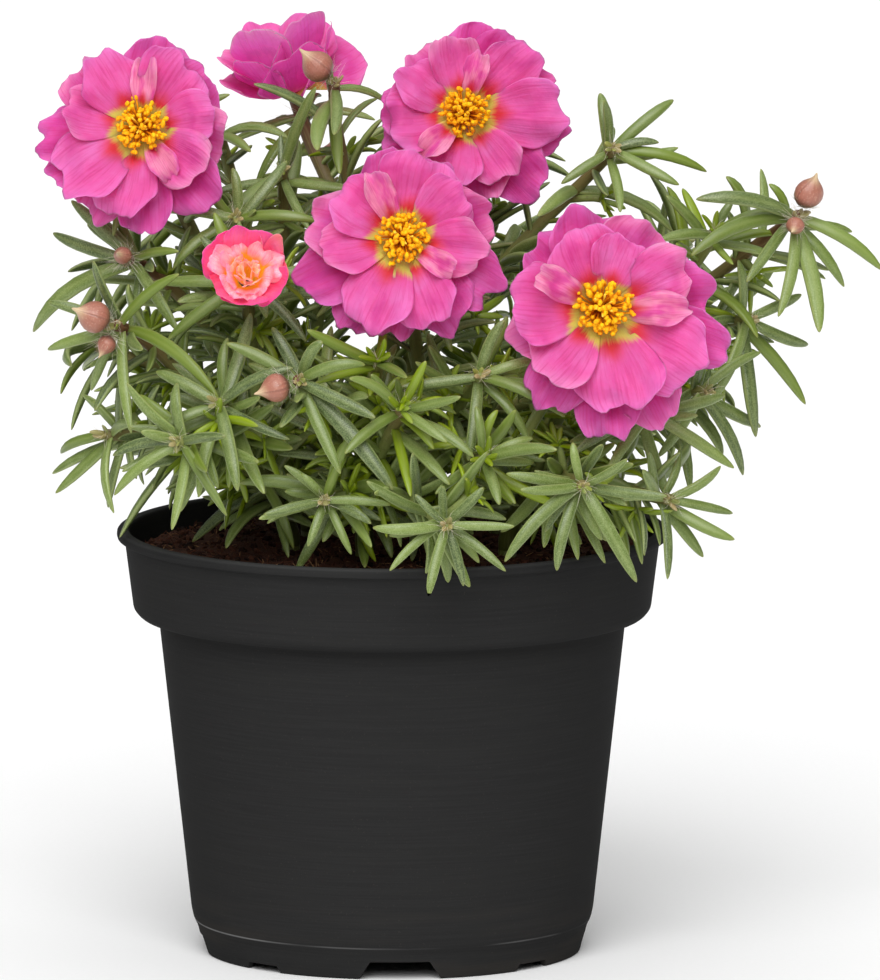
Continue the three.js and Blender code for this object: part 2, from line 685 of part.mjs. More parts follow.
// A frame that looks along `face`, turned about it by an angle.
function turnedFrame(face, turn) {
  const frame = lookFrame(face);
  const c = Math.cos(rad(turn));
  const s = Math.sin(rad(turn));
  const right = frame.right.clone().multiplyScalar(c).addScaledVector(frame.top, s);
  const top = frame.right.clone().multiplyScalar(-s).addScaledVector(frame.top, c);
  return { right, top, face };
}

// The clump of stamens: a low dome with filaments that end in thick anthers.
function makeStamens(name, place, face, turn, scale, raise) {
  const frame = turnedFrame(face, turn);
  const at = (h) => frame.face.clone().multiplyScalar(h * scale);
  const floor = LAYS.inner.foot * raise + (ROOT_THICKNESS / 2 + TOUCH_GAP) / scale;
  const dome = loft([
    ring(at(floor), frame.right, frame.top, 2.2 * scale, 7),
    ring(at(floor + 1.6), frame.right, frame.top, 2.3 * scale, 7),
    [at(floor + 2.6)],
  ]);
  const solids = [toSolid(dome)];
  for (let i = 0; i < STAMEN_COUNT; i += 1) {
    const lean = rad(60) * Math.sqrt((i + 0.5) / STAMEN_COUNT);
    const round = rad(GOLDEN_ANGLE * i);
    const way = frame.right.clone().multiplyScalar(Math.sin(lean) * Math.cos(round));
    way.addScaledVector(frame.top, Math.sin(lean) * Math.sin(round));
    way.addScaledVector(frame.face, Math.cos(lean)).normalize();
    const foot = at(floor + 0.5).addScaledVector(way, 1.3 * scale);
    solids.push(needle(foot, way, 5.4 * scale, 0.36 * scale, 0.95 * scale));
  }
  const mesh = meshOf(name, toGeometry(mainBody(joinAll(solids))), "stamens");
  mesh.position.copy(place);
  return mesh;
}

// A three-sided filament that thickens to an anther near its end.
function needle(foot, way, length, thin, thick) {
  const { right, top } = lookFrame(way);
  const along = (t) => foot.clone().addScaledVector(way, length * t);
  return toSolid(
    loft([ring(along(0), right, top, thin, 3), ring(along(0.86), right, top, thick, 3), [along(1)]]),
  );
}

// The folded heart of the half-open bloom.
function makeHeart(name, place, face, scale) {
  const frame = lookFrame(face);
  const at = (h) => frame.face.clone().multiplyScalar(h * scale);
  const shape = [[1.0, 1.5], [4.5, 2.6], [7.2, 2.2]];
  const rings = shape.map(([h, r]) => ring(at(h), frame.right, frame.top, r * scale, 8));
  const mesh = meshOf(name, loft([...rings, [at(8.6)]]), "heart");
  mesh.position.copy(place);
  return mesh;
}

// A closed bud: a teardrop with a drawn-out tip.
function makeBud(bud, foot) {
  const { right, top, face } = lookFrame(vec(bud.way).normalize());
  const shape = [[0, 0.42], [0.2, 0.92], [0.42, 1.0], [0.74, 0.5]];
  const rings = shape.map(([t, r]) =>
    ring(face.clone().multiplyScalar(bud.length * t), right, top, bud.radius * r, 6),
  );
  rings.push([face.clone().multiplyScalar(bud.length)]);
  const mesh = meshOf(bud.name, loft(rings), "bud");
  mesh.position.copy(foot);
  return mesh;
}

// ---------------------------------------------------------------- room for the plant to grow in

const segments = []; // every stretch of stem and leaf already grown
const blooms = []; // discs kept free for the open blooms
const balls = []; // room kept for buds

// Squared distance between two straight stretches.
function stretchDistance(a, b, c, d) {
  const u = b.clone().sub(a);
  const v = d.clone().sub(c);
  const w = a.clone().sub(c);
  const uu = u.dot(u);
  const uv = u.dot(v);
  const vv = v.dot(v);
  const uw = u.dot(w);
  const vw = v.dot(w);
  const clamp = (x) => Math.min(1, Math.max(0, x));
  const det = uu * vv - uv * uv;
  let s = det > 1e-9 ? clamp((uv * vw - vv * uw) / det) : 0;
  const t = clamp((uv * s + vw) / vv);
  s = clamp((uv * t - uw) / uu);
  return w.addScaledVector(u, s).addScaledVector(v, -t).length();
}

// True where a point of that thickness would meet a bloom, a bud, the pot or the soil.
function meetsFixed(p, r, owner) {
  const out = Math.hypot(p.x, p.y);
  if (out < RIM_RADIUS + 0.6 + r && p.z < POT_HEIGHT + r + 0.6 && out > RIM_RADIUS - 4.2 - r) return true;
  if (out <= RIM_RADIUS - 4.2 - r && p.z < soilHeight(p.x, p.y) + r + 0.5) return true;
  if (out >= RIM_RADIUS && p.z < POT_HEIGHT - 22) return true;
  for (const bloom of blooms) {
    if (bloom.owner === owner) continue;
    const d = p.clone().sub(bloom.place);
    const h = d.dot(bloom.face);
    if (h < bloom.back - r || h > bloom.front + r) continue;
    if (Math.sqrt(Math.max(0, d.lengthSq() - h * h)) < bloom.radius + r) return true;
  }
  for (const ball of balls) {
    if (p.distanceTo(ball.place) < ball.radius + r + NODE_GAP) return true;
  }
  return false;
}

// True where a chain of points of half width r would meet what is already there.
function meetsGrown(points, r, node, isLeaf) {
  for (let i = 0; i < points.length - 1; i += 1) {
    const a = points[i];
    const b = points[i + 1];
    for (const seg of segments) {
      let keep = r + seg.r + NODE_GAP;
      if (seg.node === node) {
        if (!isLeaf || seg.kind !== "leaf" || i === 0 || seg.first) continue;
        keep = 0.8 * (r + seg.r);
      }
      if (a.distanceTo(seg.a) > keep + seg.span + 12) continue;
      if (stretchDistance(a, b, seg.a, seg.b) < keep) return true;
    }
  }
  return false;
}

function keepChain(points, r, node, kind) {
  for (let i = 0; i < points.length - 1; i += 1) {
    const [a, b] = [points[i], points[i + 1]];
    segments.push({ a, b, r, node, kind, first: i === 0, span: a.distanceTo(b) });
  }
}

// ---------------------------------------------------------------- stems and leaves

// A trunk rises from the soil and bends over to its fork.
function trunkCurve(stem) {
  const [x, y] = stem.root;
  const ground = soilHeight(x, y);
  const fork = vec(stem.fork);
  return new THREE.CubicBezierCurve3(
    new THREE.Vector3(x, y, ground + 0.6),
    new THREE.Vector3(x, y, mix(ground, fork.z, 0.45)),
    new THREE.Vector3(mix(x, fork.x, 0.55), mix(y, fork.y, 0.55), mix(ground, fork.z, 0.8)),
    fork,
  );
}

// A shoot leaves its trunk at `rootAt` of the trunk's curve and comes to its tip along its face.
function shootCurve(trunk, shoot, rootAt, push) {
  const start = trunk.getPoint(rootAt);
  const tip = vec(shoot.tip);
  const face = vec(shoot.face).normalize();
  const reach = start.distanceTo(tip);
  const leave = trunk.getTangent(rootAt).multiplyScalar(0.6);
  leave.addScaledVector(tip.clone().sub(start).normalize(), 0.8).addScaledVector(UP, 0.25).normalize();
  const second = start.clone().addScaledVector(leave, 0.36 * reach).addScaledVector(push, 0.6);
  const third = tip.clone().addScaledVector(face, -0.36 * reach).add(push);
  return new THREE.CubicBezierCurve3(start, second, third, tip);
}

// A shoot's curve, pushed aside until it is clear of the other stems and of the blooms.
function placeShoot(stem, shoot, trunk, rootAt, random) {
  let curve;
  for (let attempt = 0; attempt < SHOOT_TRIES; attempt += 1) {
    const span = attempt * 0.35;
    const push = new THREE.Vector3(random(-span, span), random(-span, span), random(-0.3 * span, span));
    curve = shootCurve(trunk, shoot, rootAt, push);
    const points = curve.getPoints(12);
    const body = points.slice(1, 12);
    const fixed = body.some((p) => meetsFixed(p, SHOOT_ROOT_RADIUS, shoot));
    if (!fixed && !meetsGrown(points, SHOOT_ROOT_RADIUS, stem.name, false)) {
      keepChain(points, SHOOT_ROOT_RADIUS, stem.name, "stem");
      return curve;
    }
  }
  throw new Error("no clear way for a shoot of " + stem.name + " to " + shoot.tip);
}

// A leaf's centre line, as a Bezier curve with one middle point.
function leafCurve(foot, way, face, length, lean, sag) {
  const end = foot.clone().addScaledVector(way, length * 0.97);
  end.addScaledVector(face, lean * length).addScaledVector(UP, sag * length);
  const middle = foot.clone().addScaledVector(way, length * 0.52);
  return new THREE.QuadraticBezierCurve3(foot, middle, end);
}

// Tries a leaf, a little turned at each try, until it is clear. Returns null where there is no room.
function placeLeaf(stem, foot, frame, angle, tilt, length, random) {
  for (let attempt = 0; attempt < LEAF_TRIES; attempt += 1) {
    const turn = attempt * 3.2;
    const a = rad(angle + random(-turn, turn));
    const b = rad(tilt + random(-turn, turn) * 0.8);
    const lean = random(-0.04, 0.12);
    const sag = random(-0.16, 0.08);
    const size = length * random(0.94, 1.04);
    const way = frame.right.clone().multiplyScalar(Math.cos(b) * Math.cos(a));
    way.addScaledVector(frame.top, Math.cos(b) * Math.sin(a)).addScaledVector(frame.face, Math.sin(b));
    const curve = leafCurve(foot, way, frame.face, size, lean, sag);
    const points = [0, 0.34, 0.68, 1].map((t) => curve.getPoint(t));
    const checks = [0.2, 0.4, 0.6, 0.8, 1].map((t) => curve.getPoint(t));
    if (checks.some((p) => meetsFixed(p, LEAF_HALF_WIDTH, null))) continue;
    if (meetsGrown(points, LEAF_HALF_WIDTH, stem.name, true)) continue;
    keepChain(points, LEAF_HALF_WIDTH, stem.name, "leaf");
    return { curve, upper: frame.face, length: size, way };
  }
  return null;
}

// The three-cornered rings of a leaf past its root, flat above and keeled below, and its tip.
function leafRings(leaf) {
  const scale = Math.min(1, 0.55 + leaf.length / 45);
  const rings = leaf.rings.map(({ along, size }) => {
    const p = leaf.curve.getPoint(along);
    const forward = leaf.curve.getTangent(along);
    const side = new THREE.Vector3().crossVectors(leaf.upper, forward).normalize();
    const rise = new THREE.Vector3().crossVectors(forward, side);
    const k = size * scale;
    const corner = (x, y) => p.clone().addScaledVector(side, x * k).addScaledVector(rise, y * k);
    return [
      corner(LEAF_HALF_WIDTH, LEAF_TOP_RISE),
      corner(-LEAF_HALF_WIDTH, LEAF_TOP_RISE),
      corner(0, -LEAF_KEEL),
    ];
  });
  return { rings, tip: leaf.curve.getPoint(1) };
}

// Adds a leaf to a skin in place of one four-cornered facet of its stem.
// The facet's corners run counter-clockwise from outside, its first two nearer the stem's foot.
function addLeaf(skin, leaf, facet) {
  const [a, b, c, d] = facet;
  const { rings, tip } = leafRings(leaf);
  const [p, q, r] = rings[0].map((point) => skin.points.push(point) - 1);
  skin.index.push(c, d, q, c, q, p, d, a, r, d, r, q, a, b, r, b, c, p, b, p, r);
  let here = [p, q, r];
  rings.slice(1).forEach((next) => {
    const numbers = next.map((point) => skin.points.push(point) - 1);
    band(skin, here, numbers);
    here = numbers;
  });
  cap(skin, here, tip);
}

// One leaf alone, closed over its facet.
function closedLeaf(leaf, corners) {
  const skin = { points: corners.map((p) => p.clone()), index: [0, 2, 1, 0, 3, 2] };
  addLeaf(skin, leaf, [0, 1, 2, 3]);
  return toSolid(skinGeometry(skin));
}

// Rings of a tapered stem at the given shares of its curve's length.
function stemRings(curve, shares, fromRadius, toRadius) {
  let right = null;
  return shares.map((t) => {
    const forward = curve.getTangentAt(t);
    if (!right) right = Math.abs(forward.z) > 0.9 ? EAST : UP;
    const top = new THREE.Vector3().crossVectors(forward, right).normalize();
    right = new THREE.Vector3().crossVectors(top, forward).normalize();
    return ring(curve.getPointAt(t), right, top, mix(fromRadius, toRadius, t), STEM_SIDES);
  });
}

// Where along a shoot its rings lie: its root, its bend, and the two ends of every slot that holds leaves.
function ringShares(leaves, end, length) {
  const shares = [0, BARE_SHARE];
  const half = (0.5 * LEAF_SLOT) / length;
  leaves.forEach(({ share }) => shares.push(share - half, share + half));
  shares.push(end);
  shares.sort((a, b) => a - b);
  return shares.filter((t, i) => i === 0 || t - shares[i - 1] > 0.15 / length);
}

// A shoot with its leaves as one skin. A leaf takes the free facet of its slot that faces most its way.
// One that would touch the shoot or an earlier leaf is left out.
function shootSolid(shoot, curve, leaves) {
  const flower = shoot.bloom || shoot.opening;
  const length = curve.getLength();
  const tipRadius = flower ? BLOOM_STEM_RADIUS : SHOOT_TIP_RADIUS;
  const bluntness = 0.6 * tipRadius;
  const end = flower ? 1 - (BLOOM_UNDERSIDE + TOUCH_GAP + bluntness) / length : 1;
  const shares = ringShares(leaves, end, length);
  const rings = stemRings(curve, shares, SHOOT_ROOT_RADIUS, tipRadius);
  const bluntTip = curve.getPointAt(end).addScaledVector(curve.getTangentAt(end), bluntness);
  const bare = toSolid(loft([...rings, [bluntTip]]));
  const taken = new Map();
  const kept = [];
  leaves.forEach((leaf) => {
    const slot = shares.findIndex((t, i) => i < shares.length - 1 && shares[i + 1] > leaf.share);
    const facet = bestFacet(rings, slot, leaf, taken);
    if (facet === null) return;
    const solid = closedLeaf(leaf, facetCorners(rings, slot, facet));
    if (solid.intersect(bare).volume() > TOUCH_VOLUME) return;
    if (kept.some((other) => other.intersect(solid).volume() > TOUCH_VOLUME)) return;
    kept.push(solid);
    taken.set(slot * STEM_SIDES + facet, leaf);
  });
  return toSolid(shootSkin(rings, bluntTip, taken));
}

function facetCorners(rings, slot, j) {
  const k = (j + 1) % STEM_SIDES;
  return [rings[slot][j], rings[slot][k], rings[slot + 1][k], rings[slot + 1][j]];
}

function bestFacet(rings, slot, leaf, taken) {
  let best = null;
  let bestFacing = 0.2;
  for (let j = 0; j < STEM_SIDES; j += 1) {
    if (taken.has(slot * STEM_SIDES + j)) continue;
    const [a, b, c] = facetCorners(rings, slot, j);
    const normal = b.clone().sub(a).cross(c.clone().sub(b)).normalize();
    const facing = normal.dot(leaf.way);
    if (facing > bestFacing) [best, bestFacing] = [j, facing];
  }
  return best;
}

function shootSkin(rings, tip, taken) {
  const skin = { points: rings.flat().map((p) => p.clone()), index: [] };
  const number = (i, j) => i * STEM_SIDES + (j % STEM_SIDES);
  for (let j = 1; j < STEM_SIDES - 1; j += 1) skin.index.push(0, j + 1, j);
  for (let i = 0; i < rings.length - 1; i += 1) {
    for (let j = 0; j < STEM_SIDES; j += 1) {
      const facet = [number(i, j), number(i, j + 1), number(i + 1, j + 1), number(i + 1, j)];
      const leaf = taken.get(i * STEM_SIDES + j);
      if (leaf) addLeaf(skin, leaf, facet);
      else skin.index.push(facet[0], facet[1], facet[2], facet[0], facet[2], facet[3]);
    }
  }
  const last = Array.from({ length: STEM_SIDES }, (_, j) => number(rings.length - 1, j));
  cap(skin, last, tip);
  return skinGeometry(skin);
}

// The trunk: upright in its hole in the soil, then along its curve to the fork.
function trunkSolid(trunk) {
  const foot = trunk.getPoint(0);
  const bottom = foot.clone().addScaledVector(UP, 0.6 - HOLE_DEPTH);
  const rings = [bottom, foot].map((p) => ring(p, EAST, NORTH, TRUNK_RADIUS, STEM_SIDES));
  for (let i = 1; i <= 3; i += 1) {
    const forward = trunk.getTangent(i / 3);
    const top = new THREE.Vector3().crossVectors(forward, EAST).normalize();
    const right = new THREE.Vector3().crossVectors(top, forward).normalize();
    rings.push(ring(trunk.getPoint(i / 3), right, top, mix(TRUNK_RADIUS, 1.8, i / 3), STEM_SIDES));
  }
  rings.push([trunk.getPoint(1).addScaledVector(trunk.getTangent(1), 1.5)]);
  return toSolid(loft(rings));
}

// How far the whorl's first level lies below a shoot's tip.
function whorlDrop(shoot) {
  return shoot.bloom || shoot.opening ? BLOOM_DROP : WHORL_DROP;
}

// The leaves that spread round a shoot's tip, in the order of their angles.
function growWhorl(stem, shoot, curve, random) {
  const frame = lookFrame(vec(shoot.face).normalize());
  const length = curve.getLength();
  const flat = shoot.bloom || shoot.opening;
  const planned = Array.isArray(shoot.whorl)
    ? shoot.whorl
    : Array.from({ length: shoot.whorl }, (_, i) => [
        GOLDEN_ANGLE * i + random(0, 40),
        (shoot.young ? YOUNG_LEAF : FULL_LEAF) + random(-3, 3),
      ]);
  const tilt = flat ? -8 : shoot.young ? 32 : 12;
  const turnOf = ([angle]) => ((angle % 360) + 360) % 360;
  planned.sort((a, b) => turnOf(a) - turnOf(b));
  return planned.map(([angle, reach], i) => {
    const share = 1 - (whorlDrop(shoot) + (i % WHORL_LEVELS) * LEAF_SLOT) / length;
    const foot = curve.getPointAt(share);
    const size = reach / Math.cos(rad(tilt));
    const leaf = placeLeaf(stem, foot, frame, angle, tilt + random(-6, 6), size, random);
    return leaf && { ...leaf, share, rings: WHORL_LEAF_RINGS };
  });
}

// Pairs of leaves down the rest of a shoot.
function growSides(stem, shoot, curve, random) {
  const length = curve.getLength();
  const leaves = [];
  const start = random(0, 360);
  const top = 1 - (whorlDrop(shoot) + (WHORL_LEVELS + 1) * LEAF_SLOT) / length;
  const slots = Math.ceil(shoot.side / 2);
  for (let i = 0; i < shoot.side; i += 1) {
    const slot = Math.floor(i / 2);
    const share = mix(LOWEST_SIDE_LEAF, top, (slot + 0.5) / slots);
    const frame = lookFrame(curve.getTangentAt(share));
    const angle = start + GOLDEN_ANGLE * slot + (i % 2) * random(150, 200);
    const foot = curve.getPointAt(share);
    const leaf = placeLeaf(stem, foot, frame, angle, random(18, 42), random(17, 25), random);
    leaves.push(leaf && { ...leaf, share, rings: SIDE_LEAF_RINGS });
  }
  return leaves;
}

// Keeps room for a shoot's bloom and buds before anything grows.
function reserveRoom(shoot) {
  const face = vec(shoot.face).normalize();
  const tip = vec(shoot.tip);
  if (shoot.bloom) {
    const { scale, raise = 1 } = shoot.bloom;
    blooms.push({
      place: tip,
      face,
      radius: 24 * scale,
      back: -3.6,
      front: 10 * raise,
      owner: shoot,
    });
  }
  if (shoot.opening) {
    const middle = tip.clone().addScaledVector(face, 6 * shoot.opening.scale);
    balls.push({ place: middle, radius: 9.5 * shoot.opening.scale });
  }
  (shoot.buds || []).forEach((bud) => {
    const way = vec(bud.way).normalize();
    const foot = budFoot(shoot, way);
    balls.push({ place: foot.clone().addScaledVector(way, 0.36 * bud.length), radius: bud.radius + 0.3 });
    balls.push({ place: foot.clone().addScaledVector(way, 0.78 * bud.length), radius: 0.45 * bud.radius });
  });
}

// Where a bud's foot sits: just off the shoot's tip, on the bud's side.
function budFoot(shoot, way) {
  return vec(shoot.tip).addScaledVector(way, SHOOT_TIP_RADIUS + TOUCH_GAP + 1.3);
}

// ---------------------------------------------------------------- assembly

// All trunks first, then all shoots, then the whorls, and the side leaves last.
function growPlant() {
  STEMS.forEach((stem) => stem.shoots.forEach(reserveRoom));
  const plants = STEMS.map((stem, i) => {
    const trunk = trunkCurve(stem);
    keepChain(trunk.getPoints(5), TRUNK_RADIUS, stem.name, "stem");
    return { stem, trunk, random: seeded(GROWTH_SEED + SEED_STEP * i), grown: [] };
  });
  plants.forEach((plant) => {
    const count = plant.stem.shoots.length;
    plant.stem.shoots.forEach((shoot, i) => {
      const rootAt = mix(0.5, 1, (i + 0.5) / count);
      const curve = placeShoot(plant.stem, shoot, plant.trunk, rootAt, plant.random);
      plant.grown.push({ shoot, curve, leaves: [] });
    });
  });
  [growWhorl, growSides].forEach((grow) =>
    plants.forEach(({ stem, grown, random }) =>
      grown.forEach(({ shoot, curve, leaves }) => {
        leaves.push(...grow(stem, shoot, curve, random).filter((leaf) => leaf));
      }),
    ),
  );
  return plants;
}

function stemMesh({ stem, trunk, grown }) {
  const shoots = grown.map(({ shoot, curve, leaves }) => shootSolid(shoot, curve, leaves));
  const joined = joinAll([trunkSolid(trunk), ...shoots]);
  return meshOf(stem.name, toGeometry(mainBody(joined)), "stem");
}

function addFlowers(group, shoot) {
  const face = vec(shoot.face).normalize();
  const tip = vec(shoot.tip);
  if (shoot.bloom) {
    const { name, turn, scale, raise = 1 } = shoot.bloom;
    group.add(makePetals(name + "_petals", tip, face, turn, scale, raise, OPEN_BLOOM, "petals"));
    group.add(makeStamens(name + "_stamens", tip, face, turn, scale, raise));
  }
  if (shoot.opening) {
    const { name, turn, scale } = shoot.opening;
    group.add(makePetals(name + "_petals", tip, face, turn, scale, 1, OPENING_BLOOM, "opening"));
    group.add(makeHeart(name + "_heart", tip, face, scale));
  }
  (shoot.buds || []).forEach((bud) => {
    group.add(makeBud(bud, budFoot(shoot, vec(bud.way).normalize())));
  });
}

const portulaca = new THREE.Group();
portulaca.add(makePot());
portulaca.add(makeSoil());
growPlant().forEach((plant) => {
  portulaca.add(stemMesh(plant));
  plant.grown.forEach(({ shoot }) => addFlowers(portulaca, shoot));
});

export default portulaca;
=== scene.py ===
"""A portulaca, or moss rose, in flower in a black nursery pot.

The plant grows here by the same rule as its solids, in millimetres, with finer leaves and petals and with
what is too small for solids: more leaves, hairs, anthers and crumbs of peat. Meshes are made in metres.
"""

import math

import bpy
import numpy as np
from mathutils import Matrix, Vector, noise


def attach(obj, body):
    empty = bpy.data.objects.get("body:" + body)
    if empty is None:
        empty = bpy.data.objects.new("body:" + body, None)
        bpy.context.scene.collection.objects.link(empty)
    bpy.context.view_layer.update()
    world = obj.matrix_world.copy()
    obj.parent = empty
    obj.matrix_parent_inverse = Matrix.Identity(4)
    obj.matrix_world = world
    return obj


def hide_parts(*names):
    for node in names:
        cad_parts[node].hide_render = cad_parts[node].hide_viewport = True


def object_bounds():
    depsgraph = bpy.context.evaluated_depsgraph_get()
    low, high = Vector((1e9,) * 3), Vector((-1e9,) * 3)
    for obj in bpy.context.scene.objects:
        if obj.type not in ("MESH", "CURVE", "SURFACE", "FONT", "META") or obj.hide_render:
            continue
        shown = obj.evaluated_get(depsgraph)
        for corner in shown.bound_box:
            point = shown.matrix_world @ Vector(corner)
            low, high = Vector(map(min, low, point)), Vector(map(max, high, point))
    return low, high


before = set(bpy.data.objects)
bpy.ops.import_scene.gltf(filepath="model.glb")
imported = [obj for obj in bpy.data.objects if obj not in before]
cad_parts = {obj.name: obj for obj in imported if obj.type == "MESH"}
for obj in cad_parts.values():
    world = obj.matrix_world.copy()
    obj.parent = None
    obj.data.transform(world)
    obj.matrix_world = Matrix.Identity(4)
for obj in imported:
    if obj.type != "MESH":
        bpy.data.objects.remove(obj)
solid_box = [list(corner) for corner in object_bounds()]

# ---------------------------------------------------------------- sizes, in millimetres

MM = 0.001

RIM_RADIUS = 60.0
POT_HEIGHT = 92.8
COLLAR_TOP_RADIUS = 58.3
COLLAR_FOOT_RADIUS = 56.4
COLLAR_FOOT_HEIGHT = 74.0
BODY_TOP_RADIUS = 50.9
BODY_FOOT_RADIUS = 43.9
BODY_FOOT_HEIGHT = 9.5
FOOT_RADIUS = 41.3
WALL = 1.3
FLOOR_UNDERSIDE = 5.8
FLOOR_TOP = 7.4
FOOT_BOSS_RADIUS = 6.0
NOTCH_TURN = 2.4
DEEP_NOTCH = {"angle": 27.0, "height": 4.0, "first": 0}
SHALLOW_NOTCH = {"angle": 15.0, "height": 1.6, "first": 45}
DRAIN_HOLE_RADIUS = 4.5
DRAIN_HOLE_RING = 28.0

SOIL_TOP = 88.4
SOIL_GAP = 0.7
SOIL_CROWN = 1.6
HOLE_DEPTH = 12.0

TRUNK_RADIUS = 2.05
SHOOT_ROOT_RADIUS = 1.55
SHOOT_TIP_RADIUS = 1.25
BLOOM_STEM_RADIUS = 1.5

LEAF_HALF_WIDTH = 1.95
LEAF_SLOT = 1.7
WHORL_LEVELS = 3
WHORL_DROP = 1.6
BLOOM_DROP = 7.2
FULL_LEAF = 20.0
YOUNG_LEAF = 13.0
LOWEST_SIDE_LEAF = 0.34
GROWTH_SEED = 4001
SEED_STEP = 97
GOLDEN_ANGLE = 137.508
NODE_GAP = 0.3
LEAF_TRIES = 16
SHOOT_TRIES = 60

PETAL_ROOT = 2.7
TOUCH_GAP = 0.3


def new_petal(lay, angle, reach, width):
    """A petal's plan: its lay, its angle about the bloom's axis, its reach and its width."""
    return {"lay": lay, "angle": angle, "reach": reach, "width": width}


def new_flower(name, turn, scale, **form):
    """A bloom on its shoot. Its form may be `long` to one side, `raised`, half `close`d and `calm`er."""
    return {"name": name, "turn": turn, "scale": scale, **form}


def new_bud(name, way, length, radius):
    """A closed bud's plan: which way it points, its length and its radius."""
    return {"name": name, "way": way, "length": length, "radius": radius}


def new_shoot(tip, face, whorl, side=4, **bears):
    """A shoot's plan. It may bear a `bloom`, a bloom that is `opening` or `buds`, and it may be `young`."""
    return {"tip": tip, "face": face, "whorl": whorl, "side": side, **bears}


# One flower form, as two rings of petals. Angles are in degrees from the bloom's own right, towards its
# top. Petals of the two rings that share a place in their lists lie one above the other.
OUTER_PETALS = [new_petal("outer", *shape) for shape in (
    (-119, 22.5, 12.5), (-84, 22.0, 12.0), (-51, 22.0, 13.5), (-8, 20.3, 14.5), (38, 20.0, 13.0),
    (77, 19.8, 12.5), (139, 19.5, 13.5), (182, 23.6, 12.5), (211, 24.2, 11.5))]
INNER_PETALS = [new_petal(*shape) for shape in (
    ("inner", -99, 21.3, 12.0), ("strip", -61, 15.2, 4.6), ("inner", -35, 17.6, 9.6),
    ("inner", 8, 15.8, 9.0), ("inner", 52, 18.0, 13.0), ("strip", 90, 15.7, 4.8),
    ("inner", 119, 18.0, 12.5), ("inner", 167, 17.0, 10.6), ("inner", 219, 20.5, 12.5))]
OPEN_BLOOM = [OUTER_PETALS, INNER_PETALS]
SIDE_BLOOM = [
    [new_petal("outer", angle, 20.5, 18) for angle in (-150, -98, -47, 4, 56, 108, 160)],
    [new_petal("inner", angle, 18.5, 15) for angle in (-122, -62, -2, 66, 138)],
]
OPENING_BLOOM = [[new_petal("opening", *shape) for shape in (
    (-152, 7.6, 7.4), (-95, 7.2, 8.5), (-35, 7.8, 8.0), (20, 8.4, 8.0), (80, 7.6, 8.5), (145, 8.2, 8.0))]]

# How each lay of petal stands: its height over the bloom's base at its foot, in the middle and at the tip,
# its cupping, the depth of its waves, its slant, which lets neighbours overlap clear of each other, and
# how much wider than planned and how crumpled its sheet is.
LAY_KEYS = ("foot", "mid", "tip", "cup", "wave", "slant", "wider", "crumple")
LAYS = {name: dict(zip(LAY_KEYS, values)) for name, values in (
    ("inner", (0.9, 3.9, 5.6, 0.16, 0.6, 0.3, 1.42, 1.25)),
    ("outer", (-0.4, 0.4, 0.4, 0.06, 0.8, 0.34, 1.24, 1.25)),
    ("strip", (0.9, 5.4, 7.4, 0.5, 0.4, 0.0, 1.5, 2.8)),
    ("fold", (0.6, 7.0, 8.4, 0.5, 1.2, 0.2, 1.0, 2.2)),
    ("core", (2.2, 8.4, 9.0, 0.3, 0.9, 0.2, 1.0, 1.4)),
    ("opening", (0, 6.2, 9.2, 0.5, 0.3, 0.34, 1.3, 1.9)),
)}

